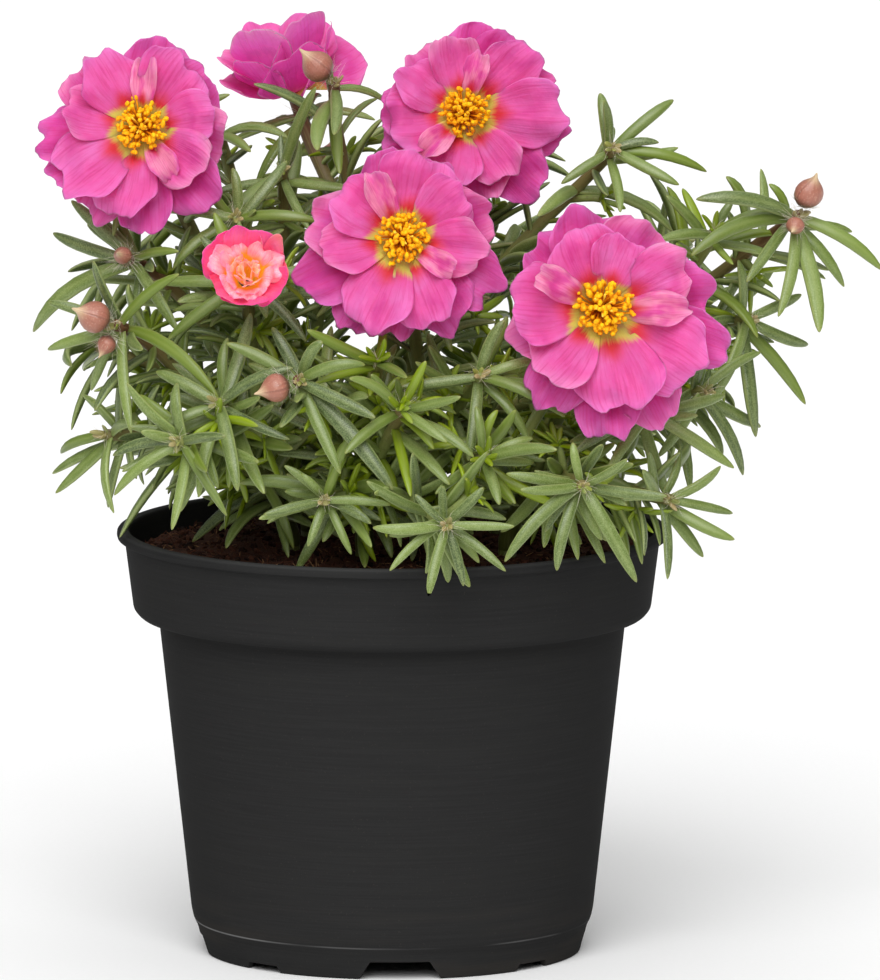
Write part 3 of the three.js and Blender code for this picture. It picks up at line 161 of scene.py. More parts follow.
# Each stem is one trunk out of the soil with its shoots. A shoot ends at `tip`, looks along `face`, and
# carries `whorl` leaves as (angle, length) round its tip, or that many, then `side` leaves further down.
STEMS = [
    {
        "name": "stem_left_front",
        "root": (-22, -9),
        "fork": (-30, -20, 108),
        "shoots": [
            new_shoot((-59.5, -36, 142.5), (-0.35, -0.9, 0.2), [(39, 21), (-16, 28), (-73, 21), (-98, 17),
                      (150, 18), (200, 20)],
                      buds=[new_bud("bud_left", (-0.78, -0.5, 0.38), 9.4, 3.5),
                            new_bud("bud_left_small", (-0.45, -0.4, -0.8), 5.6, 2.0)]),
            new_shoot((-31.5, -43, 153.5), (0.05, -0.95, 0.3), [(170, 22), (-150, 20), (-40, 18),
                      (20, 22), (95, 15), (130, 16)], side=3,
                      opening=new_flower("bloom_opening", 0, 1.12, long=(90, 0.12))),
            new_shoot((-37.5, -52, 128), (-0.3, -0.9, 0.35), 8),
            new_shoot((-46, -56, 120), (-0.45, -0.85, 0.1), [(152, 19), (185, 17), (215, 18), (10, 14),
                      (-30, 17), (-75, 18), (100, 16)]),
            new_shoot((-62, -25, 117), (-0.8, -0.55, 0.1), [(150, 16), (200, 18), (225, 18), (260, 17),
                      (-60, 16), (20, 15), (80, 15)]),
        ],
    },
    {
        "name": "stem_left_back",
        "root": (-18, 10),
        "fork": (-26, 6, 112),
        "shoots": [
            new_shoot((-54, -20, 183), (-0.08, -0.95, 0.3), [(205, 22), (250, 20), (150, 20), (30, 21),
                      (-20, 20), (95, 18)], bloom=new_flower("bloom_left", 0, 1.0)),
            new_shoot((-57, -19, 154.5), (-0.5, -0.8, 0.3), [(170, 22), (212, 29), (136, 20), (150, 17),
                      (20, 17), (-30, 19), (-75, 18)],
                      buds=[new_bud("bud_left_upper", (-0.3, -0.9, 0.3), 5.4, 1.9)]),
            new_shoot((-24, -6, 172), (-0.1, -0.85, 0.5), [(198, 16), (-8, 17), (35, 22), (225, 24),
                      (80, 14), (-60, 16)]),
            new_shoot((-34, -22, 164), (-0.15, -0.9, 0.4), [(60, 20), (120, 16), (175, 22), (5, 20),
                      (215, 16)]),
            new_shoot((-38, 14, 178), (-0.3, -0.35, 0.88), 7),
        ],
    },
    {
        "name": "stem_front",
        "root": (-6, -20),
        "fork": (-6, -34, 106),
        "shoots": [
            new_shoot((-20, -60, 134), (-0.05, -0.97, 0.2), [(92, 18), (-22, 19), (-63, 20), (-141, 17),
                      (-43, 29), (20, 16), (170, 14)],
                      buds=[new_bud("bud_front", (-0.86, -0.45, -0.2), 8.2, 3.1)]),
            new_shoot((-14.5, -57, 107.5), (0, -0.98, 0.15), [(-112, 11), (-65, 14), (0, 15), (67, 12),
                      (180, 14), (140, 12)]),
            new_shoot((2, -60, 128), (0.05, -0.9, 0.4), 7, young=True),
            new_shoot((-3, -50, 137), (0, -0.85, 0.5), 7, young=True),
            new_shoot((12, -73, 104.5), (0.05, -0.98, 0.1), [(-106, 16), (-72, 13), (-42, 16), (6, 15),
                      (50, 13), (92, 11), (131, 11), (178, 16), (-163, 15)], side=3),
        ],
    },
    {
        "name": "stem_middle",
        "root": (9, -8),
        "fork": (8, -18, 112),
        "shoots": [
            new_shoot((2.4, -43, 162), (0, -0.95, 0.3), [(200, 21), (160, 18), (-60, 22), (-100, 21),
                      (-20, 20), (60, 16)], bloom=new_flower("bloom_middle", 25, 1.02)),
            new_shoot((19, -52, 134), (0.1, -0.92, 0.35), [(20, 17), (75, 16), (150, 16), (200, 17),
                      (-100, 19), (-50, 18), (-10, 19)]),
            new_shoot((20, -62, 117.5), (0.1, -0.9, 0.3), 7, young=True),
            new_shoot((36, -36, 128), (0.35, -0.85, 0.3), 7),
        ],
    },
    {
        "name": "stem_right_front",
        "root": (25, -14),
        "fork": (34, -26, 108),
        "shoots": [
            new_shoot((45, -54, 148.5), (0.06, -0.96, 0.25), [(-150, 20), (-110, 22), (-55, 23),
                      (-20, 22), (30, 20), (100, 18)],
                      bloom=new_flower("bloom_right", 60, 1.13, long=(-50, 0.09))),
            new_shoot((41, -69, 112.5), (0.08, -0.98, 0.12), [(148, 18), (-2, 19), (-105, 21), (-152, 21),
                      (65, 15), (-57, 22), (100, 12), (180, 15)], side=3),
            new_shoot((60, -46, 106), (0.45, -0.85, 0.1), [(-10, 17), (-54, 17), (50, 12), (25, 14),
                      (170, 16), (110, 13), (-100, 17)]),
            new_shoot((57, -42, 124), (0.5, -0.8, 0.2), 7),
        ],
    },
    {
        "name": "stem_right_back",
        "root": (23, 13),
        "fork": (38, 8, 116),
        "shoots": [
            new_shoot((88, -15, 163.5), (0.3, -0.85, 0.35), [(-30, 22), (-47, 16), (170, 24), (186, 26),
                      (225, 20), (-98, 28), (-116, 24)],
                      buds=[new_bud("bud_right", (0.35, -0.35, 0.87), 8.6, 3.1),
                            new_bud("bud_right_small", (-0.2, -0.9, -0.35), 5.0, 1.9)]),
            new_shoot((70, -14, 160), (0.2, -0.7, 0.6), 6, young=True),
            new_shoot((78, -10, 140), (0.6, -0.75, 0.1), [(-60, 24), (-95, 24), (-125, 20), (-25, 18),
                      (30, 16), (100, 16), (180, 16)]),
            new_shoot((68, -22, 126), (0.55, -0.8, 0.1), [(200, 20), (220, 20), (-60, 20), (-20, 20),
                      (20, 18), (80, 14)]),
            new_shoot((64, 24, 152), (0.7, 0.1, 0.7), 7),
        ],
    },
    {
        "name": "stem_top",
        "root": (1, 8),
        "fork": (2, 6, 124),
        "shoots": [
            new_shoot((15.4, -5, 184), (0.05, -0.94, 0.33), [(-15, 21), (15, 20), (50, 18), (170, 22),
                      (190, 20), (-75, 20)], bloom=new_flower("bloom_top", 135, 0.98, long=(-80, 0.05))),
            new_shoot((47.8, -10, 177.5), (0.1, -0.93, 0.35), [(95, 18), (47, 22), (17, 11), (-9, 21),
                      (-34, 18), (-85, 16), (150, 14), (205, 13)]),
            new_shoot((-12.5, -2, 190.5), (0.05, -0.6, 0.8), [(212, 23), (226, 26), (238, 22), (-92, 21),
                      (-20, 16), (-45, 14), (5, 14)],
                      buds=[new_bud("bud_top", (-0.62, -0.38, 0.68), 9.4, 3.4)]),
            new_shoot((-22, 30, 185.5), (-0.22, -0.42, 0.88), [(200, 18), (250, 17), (20, 17), (90, 18),
                      (140, 18)],
                      bloom=new_flower("bloom_top_left", 200, 0.82, raised=1.7, close=0.95, calm=0.4)),
        ],
    },
    {
        "name": "stem_back_left",
        "root": (-8, 26),
        "fork": (-18, 34, 108),
        "shoots": [
            new_shoot((-58, 26, 150), (-0.6, 0.5, 0.6), 8),
            new_shoot((-66, 8, 132), (-0.9, 0.2, 0.3), 7),
            new_shoot((-34, 58, 138), (-0.35, 0.85, 0.4), 8),
            new_shoot((-50, 48, 116), (-0.6, 0.75, 0.1), 7),
            new_shoot((-14, 44, 162), (-0.1, 0.55, 0.8), 8,
                      buds=[new_bud("bud_back", (0.1, 0.5, 0.86), 8.6, 3.1)]),
            new_shoot((-12, 70, 112), (-0.1, 0.97, 0.1), 7),
        ],
    },
    {
        "name": "stem_back_right",
        "root": (14, 27),
        "fork": (22, 36, 110),
        "shoots": [
            new_shoot((20, 34, 172), (0.1, 0.3, 0.95), 8),
            new_shoot((46, 50, 142), (0.6, 0.7, 0.4), 8),
            new_shoot((18, 64, 140), (0.2, 0.9, 0.35), 8),
            new_shoot((36, 64, 112), (0.4, 0.9, 0.1), 7),
            new_shoot((66, 34, 122), (0.85, 0.5, 0.2), 7),
        ],
    },
]


# ---------------------------------------------------------------- small sums

UP = np.array([0.0, 0.0, 1.0])
EAST = np.array([1.0, 0.0, 0.0])
NORTH = np.array([0.0, 1.0, 0.0])


def mix(a, b, t):
    return a + (b - a) * t


def unit(v):
    return v * (1.0 / math.sqrt(v.dot(v)))


def seeded(seed):
    """A plain seeded generator, so that the plant grows the same way each time."""
    state = seed

    def draw(low, high):
        nonlocal state
        state = (state * 1664525 + 1013904223) % 4294967296
        return low + (high - low) * (state / 4294967296)

    return draw


def look_frame(face):
    """Right, top and face of something that looks along `face`."""
    right = unit(np.cross(UP, face))
    return right, unit(np.cross(face, right)), face


def turned_frame(face, turn):
    """The same, turned about its face."""
    right, top, face = look_frame(face)
    c, s = math.cos(math.radians(turn)), math.sin(math.radians(turn))
    return right * c + top * s, top * c - right * s, face


def soil_height(x, y):
    """The fill's height: a low crown with shallow hollows."""
    r = math.hypot(x, y) / COLLAR_TOP_RADIUS
    hollows = 0.45 * math.sin(0.21 * x + 1.3) * math.cos(0.17 * y - 0.4)
    slopes = 0.3 * math.sin(0.11 * (x - y))
    return SOIL_TOP + SOIL_CROWN * (1 - r * r) + hollows + slopes


class Curve:
    """A Bezier curve through three or four points, with places by share of its length too."""

    STEPS = 200
    DELTA = 0.0001

    def __init__(self, *points):
        self.points = [np.array(p, float) for p in points]
        self.lengths = None

    def at(self, t):
        p = self.points
        k = 1 - t
        if len(p) == 3:
            return k * k * p[0] + 2 * k * t * p[1] + t * t * p[2]
        return k * k * k * p[0] + 3 * k * k * t * p[1] + 3 * k * t * t * p[2] + t * t * t * p[3]

    def way(self, t):
        low, high = max(0.0, t - self.DELTA), min(1.0, t + self.DELTA)
        return unit(self.at(high) - self.at(low))

    def measure(self):
        if self.lengths is None:
            stops = np.array([self.at(i / self.STEPS) for i in range(self.STEPS + 1)])
            steps = np.sqrt(((stops[1:] - stops[:-1]) ** 2).sum(axis=1))
            self.lengths = np.concatenate([[0.0], np.cumsum(steps)])
        return self.lengths

    def length(self):
        return self.measure()[-1]

    def place(self, share):
        lengths = self.measure()
        stops = np.linspace(0, 1, self.STEPS + 1)
        return float(np.interp(share * lengths[-1], lengths, stops))

    def at_share(self, share):
        return self.at(self.place(share))

    def way_at_share(self, share):
        return self.way(self.place(share))


# ---------------------------------------------------------------- room for the plant to grow in


NEAR_RIM = 4.2
OVER_RIM = 0.6
OVER_SOIL = 0.5
LOWEST_HANG = 22
SAME_STEM_SHARE = 0.8
BLOOM_ROOM = {"radius": 24, "back": -3.6, "front": 10}
OPENING_ROOM = {"middle": 6, "radius": 9.5}
BUD_BELLY = {"along": 0.36, "gap": 0.3}
BUD_NECK = {"along": 0.78, "share": 0.45}
BUD_STANDS_OFF = 1.3


class Room:
    """What has already grown, so that stems and leaves bend clear of each other."""

    SIZE = 20000

    def __init__(self):
        self.count = 0
        self.a = np.zeros((self.SIZE, 3))
        self.b = np.zeros((self.SIZE, 3))
        self.radius = np.zeros(self.SIZE)
        self.node = np.zeros(self.SIZE, int)
        self.open_leaf = np.zeros(self.SIZE, bool)
        self.blooms = []
        self.balls = []

    def keep(self, points, radius, node, kind):
        for i in range(len(points) - 1):
            n = self.count
            self.a[n], self.b[n] = points[i], points[i + 1]
            self.radius[n] = radius
            self.node[n] = node
            self.open_leaf[n] = kind == "leaf" and i > 0
            self.count += 1

    def distances(self, a, b):
        """Distances from one straight stretch to every stretch kept."""
        n = self.count
        c = self.a[:n]
        v = self.b[:n] - c
        u = b - a
        w = a - c
        uu = u.dot(u)
        uv = v.dot(u)
        vv = (v * v).sum(axis=1)
        uw = w.dot(u)
        vw = (v * w).sum(axis=1)
        det = uu * vv - uv * uv
        safe = np.where(det > 1e-9, det, 1.0)
        s = np.where(det > 1e-9, np.clip((uv * vw - vv * uw) / safe, 0, 1), 0.0)
        t = np.clip((uv * s + vw) / vv, 0, 1)
        s = np.clip((uv * t - uw) / uu, 0, 1)
        gap = w + s[:, None] * u - t[:, None] * v
        return np.sqrt((gap * gap).sum(axis=1))

    def meets_grown(self, points, radius, node, is_leaf):
        n = self.count
        own = self.node[:n] == node
        wide = radius + self.radius[:n] + NODE_GAP
        near = SAME_STEM_SHARE * (radius + self.radius[:n])
        for i in range(len(points) - 1):
            room = np.where(own, near, wide)
            skipped = own & ~self.open_leaf[:n] if is_leaf and i > 0 else own
            close = self.distances(points[i], points[i + 1]) < room
            if np.any(close & ~skipped):
                return True
        return False

    def meets_fixed(self, p, r, owner):
        """True where a point of that thickness would meet a bloom, a bud, the pot or the soil."""
        out = math.hypot(p[0], p[1])
        within = RIM_RADIUS - NEAR_RIM - r
        if within < out < RIM_RADIUS + OVER_RIM + r and p[2] < POT_HEIGHT + r + OVER_RIM:
            return True
        if out <= within and p[2] < soil_height(p[0], p[1]) + r + OVER_SOIL:
            return True
        if out >= RIM_RADIUS and p[2] < POT_HEIGHT - LOWEST_HANG:
            return True
        for place, face, radius, back, front, bloom_owner in self.blooms:
            if bloom_owner is owner:
                continue
            d = p - place
            h = d.dot(face)
            if h < back - r or h > front + r:
                continue
            if math.sqrt(max(0.0, d.dot(d) - h * h)) < radius + r:
                return True
        for place, radius in self.balls:
            d = p - place
            if math.sqrt(d.dot(d)) < radius + r + NODE_GAP:
                return True
        return False


room = Room()


def facing(shoot):
    return unit(np.array(shoot["face"], float))


def bud_foot(shoot, way):
    return np.array(shoot["tip"], float) + way * (SHOOT_TIP_RADIUS + TOUCH_GAP + BUD_STANDS_OFF)


def reserve_room(shoot):
    """Keeps room for a shoot's bloom and buds before anything grows."""
    face = facing(shoot)
    tip = np.array(shoot["tip"], float)
    if "bloom" in shoot:
        scale, raised = shoot["bloom"]["scale"], shoot["bloom"].get("raised", 1)
        radius, front = BLOOM_ROOM["radius"] * scale, BLOOM_ROOM["front"] * raised
        room.blooms.append((tip, face, radius, BLOOM_ROOM["back"], front, id(shoot)))
    if "opening" in shoot:
        scale = shoot["opening"]["scale"]
        room.balls.append((tip + face * (OPENING_ROOM["middle"] * scale), OPENING_ROOM["radius"] * scale))
    for bud in shoot.get("buds", []):
        way = unit(np.array(bud["way"], float))
        foot, length, radius = bud_foot(shoot, way), bud["length"], bud["radius"]
        room.balls.append((foot + way * (BUD_BELLY["along"] * length), radius + BUD_BELLY["gap"]))
        room.balls.append((foot + way * (BUD_NECK["along"] * length), BUD_NECK["share"] * radius))


# ---------------------------------------------------------------- growth of stems and leaves


# A trunk's and a shoot's way, as shares of their span. Pairs are ranges that a value is drawn from.
TRUNK_RISE = 0.45
TRUNK_REACH = 0.55
TRUNK_SHOULDER = 0.8
ALONG_TRUNK = 0.6
TOWARDS_TIP = 0.8
UPWARDS = 0.25
SHOOT_BEND = 0.36
PUSH_AT_ROOT = 0.6
PUSH_GROWS = 0.35
LEAF_TURN = 3.2
LEAF_MIDDLE = 0.52
LEAF_END = 0.97
LEAF_LEANS = (-0.04, 0.12)
LEAF_SAGS = (-0.16, 0.08)
LEAF_SIZES = (0.94, 1.04)
BLOOM_TILT = -8
YOUNG_TILT = 32
WHORL_TILT = 12
WHORL_TILTS = (-6, 6)
WHORL_TURNS = (0, 40)
WHORL_SIZES = (-3, 3)
PAIR_TURNS = (150, 200)
SIDE_TILTS = (18, 42)
SIDE_SIZES = (17, 25)


def rising(look, turn, rise):
    """A direction at an angle round a look's face, which rises towards it."""
    right, top, face = look
    level = math.cos(rise)
    return right * (level * math.cos(turn)) + top * (level * math.sin(turn)) + face * math.sin(rise)


def trunk_curve(stem):
    """A trunk rises from the soil and bends over to its fork."""
    x, y = stem["root"]
    ground = soil_height(x, y)
    fx, fy, fz = stem["fork"]
    return Curve(
        (x, y, ground + 0.6),
        (x, y, mix(ground, fz, TRUNK_RISE)),
        (mix(x, fx, TRUNK_REACH), mix(y, fy, TRUNK_REACH), mix(ground, fz, TRUNK_SHOULDER)),
        (fx, fy, fz),
    )


def shoot_curve(trunk, shoot, root_at, push):
    """A shoot leaves its trunk at `root_at` of the trunk's curve and comes to its tip along its face."""
    start = trunk.at(root_at)
    tip = np.array(shoot["tip"], float)
    reach = math.sqrt((tip - start).dot(tip - start))
    leave = unit(trunk.way(root_at) * ALONG_TRUNK + unit(tip - start) * TOWARDS_TIP + UP * UPWARDS)
    second = start + leave * (SHOOT_BEND * reach) + push * PUSH_AT_ROOT
    third = tip + facing(shoot) * (-SHOOT_BEND * reach) + push
    return Curve(start, second, third, tip)


def place_shoot(node, shoot, trunk, root_at, draw):
    """A shoot's curve, pushed aside until it is clear of the other stems and of the blooms."""
    for attempt in range(SHOOT_TRIES):
        span = attempt * PUSH_GROWS
        push = np.array([draw(-span, span), draw(-span, span), draw(-0.3 * span, span)])
        curve = shoot_curve(trunk, shoot, root_at, push)
        points = [curve.at(i / 12) for i in range(13)]
        if any(room.meets_fixed(p, SHOOT_ROOT_RADIUS, id(shoot)) for p in points[1:12]):
            continue
        if not room.meets_grown(points, SHOOT_ROOT_RADIUS, node, False):
            room.keep(points, SHOOT_ROOT_RADIUS, node, "stem")
            return curve
    raise ValueError("a shoot has no clear way")


def place_leaf(node, foot, look, angle, tilt, length, draw, width=LEAF_HALF_WIDTH, tries=LEAF_TRIES):
    """Tries a leaf, a little turned at each try, until it is clear. Returns None where there is no room."""
    face = look[2]
    for attempt in range(tries):
        turn = attempt * LEAF_TURN
        a = math.radians(angle + draw(-turn, turn))
        b = math.radians(tilt + draw(-turn, turn) * 0.8)
        lean, sag, size = draw(*LEAF_LEANS), draw(*LEAF_SAGS), length * draw(*LEAF_SIZES)
        way = rising(look, a, b)
        end = foot + way * (size * LEAF_END) + face * (lean * size) + UP * (sag * size)
        curve = Curve(foot, foot + way * (size * LEAF_MIDDLE), end)
        if any(room.meets_fixed(curve.at(t), width, None) for t in (0.2, 0.4, 0.6, 0.8, 1)):
            continue
        points = [curve.at(t) for t in (0, 0.34, 0.68, 1)]
        if room.meets_grown(points, width, node, True):
            continue
        room.keep(points, width, node, "leaf")
        return {"curve": curve, "upper": face, "length": size}
    return None


def bears_bloom(shoot):
    return "bloom" in shoot or "opening" in shoot


def whorl_drop(shoot):
    return BLOOM_DROP if bears_bloom(shoot) else WHORL_DROP


def grow_whorl(node, shoot, curve, draw):
    """The leaves that spread round a shoot's tip, in the order of their angles."""
    look = look_frame(facing(shoot))
    length = curve.length()
    young = shoot.get("young", False)
    planned = shoot["whorl"]
    if not isinstance(planned, list):
        size = YOUNG_LEAF if young else FULL_LEAF
        planned = [(GOLDEN_ANGLE * i + draw(*WHORL_TURNS), size + draw(*WHORL_SIZES)) for i in range(planned)]
    tilt = BLOOM_TILT if bears_bloom(shoot) else YOUNG_TILT if young else WHORL_TILT
    leaves = []
    for i, (angle, reach) in enumerate(sorted(planned, key=lambda leaf: leaf[0] % 360)):
        share = 1 - (whorl_drop(shoot) + (i % WHORL_LEVELS) * LEAF_SLOT) / length
        foot = curve.at_share(share)
        size = reach / math.cos(math.radians(tilt))
        leaves.append(place_leaf(node, foot, look, angle, tilt + draw(*WHORL_TILTS), size, draw))
    return leaves


def grow_sides(node, shoot, curve, draw):
    """Pairs of leaves down the rest of a shoot."""
    length = curve.length()
    start = draw(0, 360)
    top = 1 - (whorl_drop(shoot) + (WHORL_LEVELS + 1) * LEAF_SLOT) / length
    slots = math.ceil(shoot["side"] / 2)
    leaves = []
    for i in range(shoot["side"]):
        slot = i // 2
        share = mix(LOWEST_SIDE_LEAF, top, (slot + 0.5) / slots)
        look = look_frame(curve.way_at_share(share))
        angle = start + GOLDEN_ANGLE * slot + (i % 2) * draw(*PAIR_TURNS)
        foot = curve.at_share(share)
        tilt = draw(*SIDE_TILTS)
        leaves.append(place_leaf(node, foot, look, angle, tilt, draw(*SIDE_SIZES), draw))
    return leaves


def grow_plant():
    """All trunks first, then all shoots, then the whorls, and the side leaves last."""
    for stem in STEMS:
        for shoot in stem["shoots"]:
            reserve_room(shoot)
    plants = []
    for i, stem in enumerate(STEMS):
        trunk = trunk_curve(stem)
        room.keep([trunk.at(t / 5) for t in range(6)], TRUNK_RADIUS, i, "stem")
        plants.append({"stem": stem, "node": i, "trunk": trunk, "draw": seeded(GROWTH_SEED + SEED_STEP * i)})
    for plant in plants:
        shoots = plant["stem"]["shoots"]
        plant["grown"] = []
        for i, shoot in enumerate(shoots):
            root_at = mix(0.5, 1, (i + 0.5) / len(shoots))
            curve = place_shoot(plant["node"], shoot, plant["trunk"], root_at, plant["draw"])
            plant["grown"].append({"shoot": shoot, "curve": curve, "leaves": []})
    for grow in (grow_whorl, grow_sides):
        for plant in plants:
            for grown in plant["grown"]:
                leaves = grow(plant["node"], grown["shoot"], grown["curve"], plant["draw"])
                grown["leaves"].extend(leaf for leaf in leaves if leaf)
    return plants


# ---------------------------------------------------------------- skins: points, faces and marks


EASE = 3.0 * MM
NO_BOX = [[-1.0, -1.0, -1.0], [1.0, 1.0, 1.0]]


class Skin:
    """Points and faces in millimetres, with two marks a point that the finishes read."""

    def __init__(self, box=solid_box):
        self.points = []
        self.faces = []
        self.marks = []
        self.sorts = []
        self.box = box

    def add(self, point, mark, sort):
        self.points.append(point)
        self.marks.append(mark)
        self.sorts.append(sort)
        return len(self.points) - 1

    def ring(self, points, marks, sort):
        return [self.add(p, m, sort) for p, m in zip(points, marks)]

    def band(self, low, high):
        """Faces between two closed loops that run counter-clockwise about the way from low to high."""
        count = len(low)
        for i in range(count):
            k = (i + 1) % count
            self.faces.append((low[i], low[k], high[k], high[i]))

    def fan(self, loop, middle):
        count = len(loop)
        for i in range(count):
            self.faces.append((loop[i], loop[(i + 1) % count], middle))

    def tube(self, loops, sort, start=None, end=None):
        """A skin through a row of closed loops. start and end are points, with their marks, that close it."""
        below = None
        for points, marks in loops:
            ring = self.ring(points, marks, sort)
            if below:
                self.band(below, ring)
            elif start:
                self.fan(ring[::-1], self.add(*start, sort))
            below = ring
        if end:
            self.fan(below, self.add(*end, sort))

    def block(self, loops):
        """A closed block between two flat loops."""
        low, high = (self.ring(points, [(0, 0, 0)] * len(points), (0, 0, 0)) for points in loops)
        self.faces.append(tuple(low[::-1]))
        self.band(low, high)
        self.faces.append(tuple(high))

    def fitted(self):
        """The points in metres, inside the solids' box: what grows too high bends over softly."""
        points = np.array(self.points) * MM
        roof = self.box[1][2]
        over = np.maximum(points[:, 2] - roof + EASE, 0.0)
        points[:, 2] = np.where(over > 0, roof - EASE * np.exp(-over / EASE), points[:, 2])
        return np.clip(points, *self.box)

    def make(self, name, finish, smooth=True):
        """Makes the object and lets it ride with the pot."""
        mesh = bpy.data.meshes.new(name)
        points = self.fitted()
        mesh.from_pydata(points.tolist(), [], self.faces)
        for label, values in (("marks", self.marks), ("sort", self.sorts)):
            layer = mesh.attributes.new(label, "FLOAT_VECTOR", "POINT")
            layer.data.foreach_set("vector", np.array(values, float).ravel())
        mesh.polygons.foreach_set("use_smooth", [smooth] * len(mesh.polygons))
        mesh.materials.append(finish)
        made = add_object(name, mesh)
        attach(made, "root")
        return made


def add_object(name, data):
    """A new object of the scene."""
    made = bpy.data.objects.new(name, data)
    bpy.context.scene.collection.objects.link(made)
    return made


def round_points(centre, right, top, radius, sides):
    """Points round a circle that lies across right and top."""
    turns = [2 * math.pi * i / sides for i in range(sides)]
    return [centre + right * (radius * math.cos(a)) + top * (radius * math.sin(a)) for a in turns]


def moving_frames(curve, shares):
    """Place, right and top at each share of a curve's length, carried along without twist."""
    right = None
    frames = []
    for share in shares:
        forward = curve.way_at_share(share)
        if right is None:
            right = EAST if abs(forward[2]) > 0.9 else UP
        top = unit(np.cross(forward, right))
        right = unit(np.cross(top, forward))
        frames.append((curve.at_share(share), right, top))
    return frames


# ---------------------------------------------------------------- leafy stems

LEAF_SIDES = 10
LEAF_STATIONS = ((0.0, 0.58), (0.06, 0.7), (0.15, 0.86), (0.29, 0.97), (0.45, 1.0), (0.6, 0.97),
                 (0.74, 0.87), (0.86, 0.66), (0.94, 0.43), (0.984, 0.2))
LEAF_TOP = 0.62
LEAF_BELLY = 0.74
LEAF_CHANNEL = 0.16
SLIMMEST_LEAF = 0.5
LEAF_FATTENS = 0.043
LEAF_GIRTHS = (0.88, 1.12)
YOUNG_SLIMNESS = 0.84
ARCHES = (0.0, 0.22)
SWINGS = (-0.12, 0.12)
HOOKS = (-0.2, 0.12)
DROOPS = (-0.02, 0.13)


def leaf_section(along, place, side, rise, half):
    """A fleshy section: round below, flatter above, with a shallow channel along its middle."""
    points = []
    marks = []
    for j in range(LEAF_SIDES):
        a = 2 * math.pi * (j + 0.5) / LEAF_SIDES
        x, y = math.cos(a), math.sin(a)
        height = LEAF_TOP * y - LEAF_CHANNEL * math.exp(-((x * 3.0) ** 2)) if y > 0 else LEAF_BELLY * y
        points.append(place + side * (x * half) + rise * (height * half))
        marks.append((along, x, y))
    return points, marks


def arched(leaf, draw):
    """A leaf's curve with more arch, a swing to one side, and a tip that hooks up or down."""
    foot, middle, tip = leaf["curve"].points
    size = leaf["length"]
    upper = leaf["upper"]
    side = unit(np.cross(upper, tip - foot))
    lift = upper * (draw(*ARCHES) * size) + side * (draw(*SWINGS) * size)
    hook = upper * (draw(*HOOKS) * size) - UP * (draw(*DROOPS) * size)
    return Curve(foot, middle + lift, tip + hook)


def add_leaf(skin, leaf, draw, age):
    """One slim fleshy leaf along its curve, ending in a point."""
    curve, upper = arched(leaf, draw), leaf["upper"]
    tone = draw(0, 1)
    scale = (SLIMMEST_LEAF + LEAF_FATTENS * leaf["length"]) * draw(*LEAF_GIRTHS)
    scale *= mix(YOUNG_SLIMNESS, 1.0, min(1, 2 * age))
    loops = []
    for along, size in LEAF_STATIONS:
        forward = curve.way(along)
        side = unit(np.cross(upper, forward))
        rise = np.cross(forward, side)
        loops.append(leaf_section(along, curve.at(along), side, rise, size * scale))
    sort = (age, tone, leaf.get("tan", 0.0))
    skin.tube(loops, sort, (curve.at(0), (0, 0, 0)), (curve.at(1), (1, 0, 0)))


def add_stem(skin, curve, from_radius, to_radius, sort, sides=12, steps=22, end=1.0):
    """A round stem with slight swellings, closed at both ends."""
    shares = [end * i / steps for i in range(steps + 1)]
    loops = []
    for share, (place, right, top) in zip(shares, moving_frames(curve, shares)):
        radius = mix(from_radius, to_radius, share) * (1 + STEM_SWELLS * math.sin(31 * share + sort[1] * 9))
        marks = [(share, math.cos(2 * math.pi * i / sides), 1) for i in range(sides)]
        loops.append((round_points(place, right, top, radius, sides), marks))
    last = curve.at_share(end) + curve.way_at_share(end) * (0.5 * to_radius)
    skin.tube(loops, sort, (curve.at_share(0), (0, 0, 1)), (last, (1, 0, 1)))


def add_hair(skin, foot, way, length, bend):
    """A fine pale hair: a three-sided taper that curls over."""
    right, top, _ = look_frame(unit(way))
    loops = []
    for t in (0.0, 0.3, 0.6, 0.85):
        place = foot + way * (length * t) + bend * (length * t * t)
        radius = HAIR_THICKNESS * (1 - 0.7 * t)
        loops.append((round_points(place, right, top, radius, 3), [(t, 0, 0)] * 3))
    skin.tube(loops, (0, 0, 0), end=(foot + way * length + bend * length, (1, 0, 0)))


# ---------------------------------------------------------------- more leaves than the solids have

EXTRA_LEAVES = 20
FEW_TRIES = 8
EXTRA_WIDTH = 0.95
EXTRA_SEED = 9001
EXTRA_TURNS = (0, 60)
EXTRA_TILTS = (5, 55)
EXTRA_SIZES = (11, 21)
LOWEST_EXTRA = 0.1
TUFTS = 3
TUFT_SPAN = (0.2, 0.86)
TRUNK_TUFTS = 5
TRUNK_TUFT_SPAN = (0.3, 0.98)
TUFT_STEPS = (0.2, 0.8)
TUFT_TRIES = 5
TUFT_SEED = 7001
TUFT_LEANS = (0.6, 1.4)
TUFT_STALKS = (3.5, 9)
TUFT_STALK_RADIUS = 0.9
TUFT_LEAVES = 8
TUFT_WIDTH = 0.5
TUFT_TURNS = (0, 30)
TUFT_TILTS = (12, 66)
TUFT_SIZES = (11.5, 4.0)
TRUNK_LEAVES = 18
TRUNK_SEED = 8111
TRUNK_TILTS = (-25, 45)
TRUNK_SIZES = (15, 25)
LOWEST_TRUNK_LEAF = 0.16
TIP_LEAVES = 6
TIP_TILTS = (34, 68)
TIP_SIZES = (3.0, 8.0)
WITHERED = 0.44
STEM_SEED = 5003
STEM_SWELLS = 0.05
FORK_RADIUS = 1.8
STEM_END_UNDER_BLOOM = 2.7


def inside_box(p):
    low, high = solid_box
    return all(low[i] <= p[i] * MM <= high[i] for i in range(3))


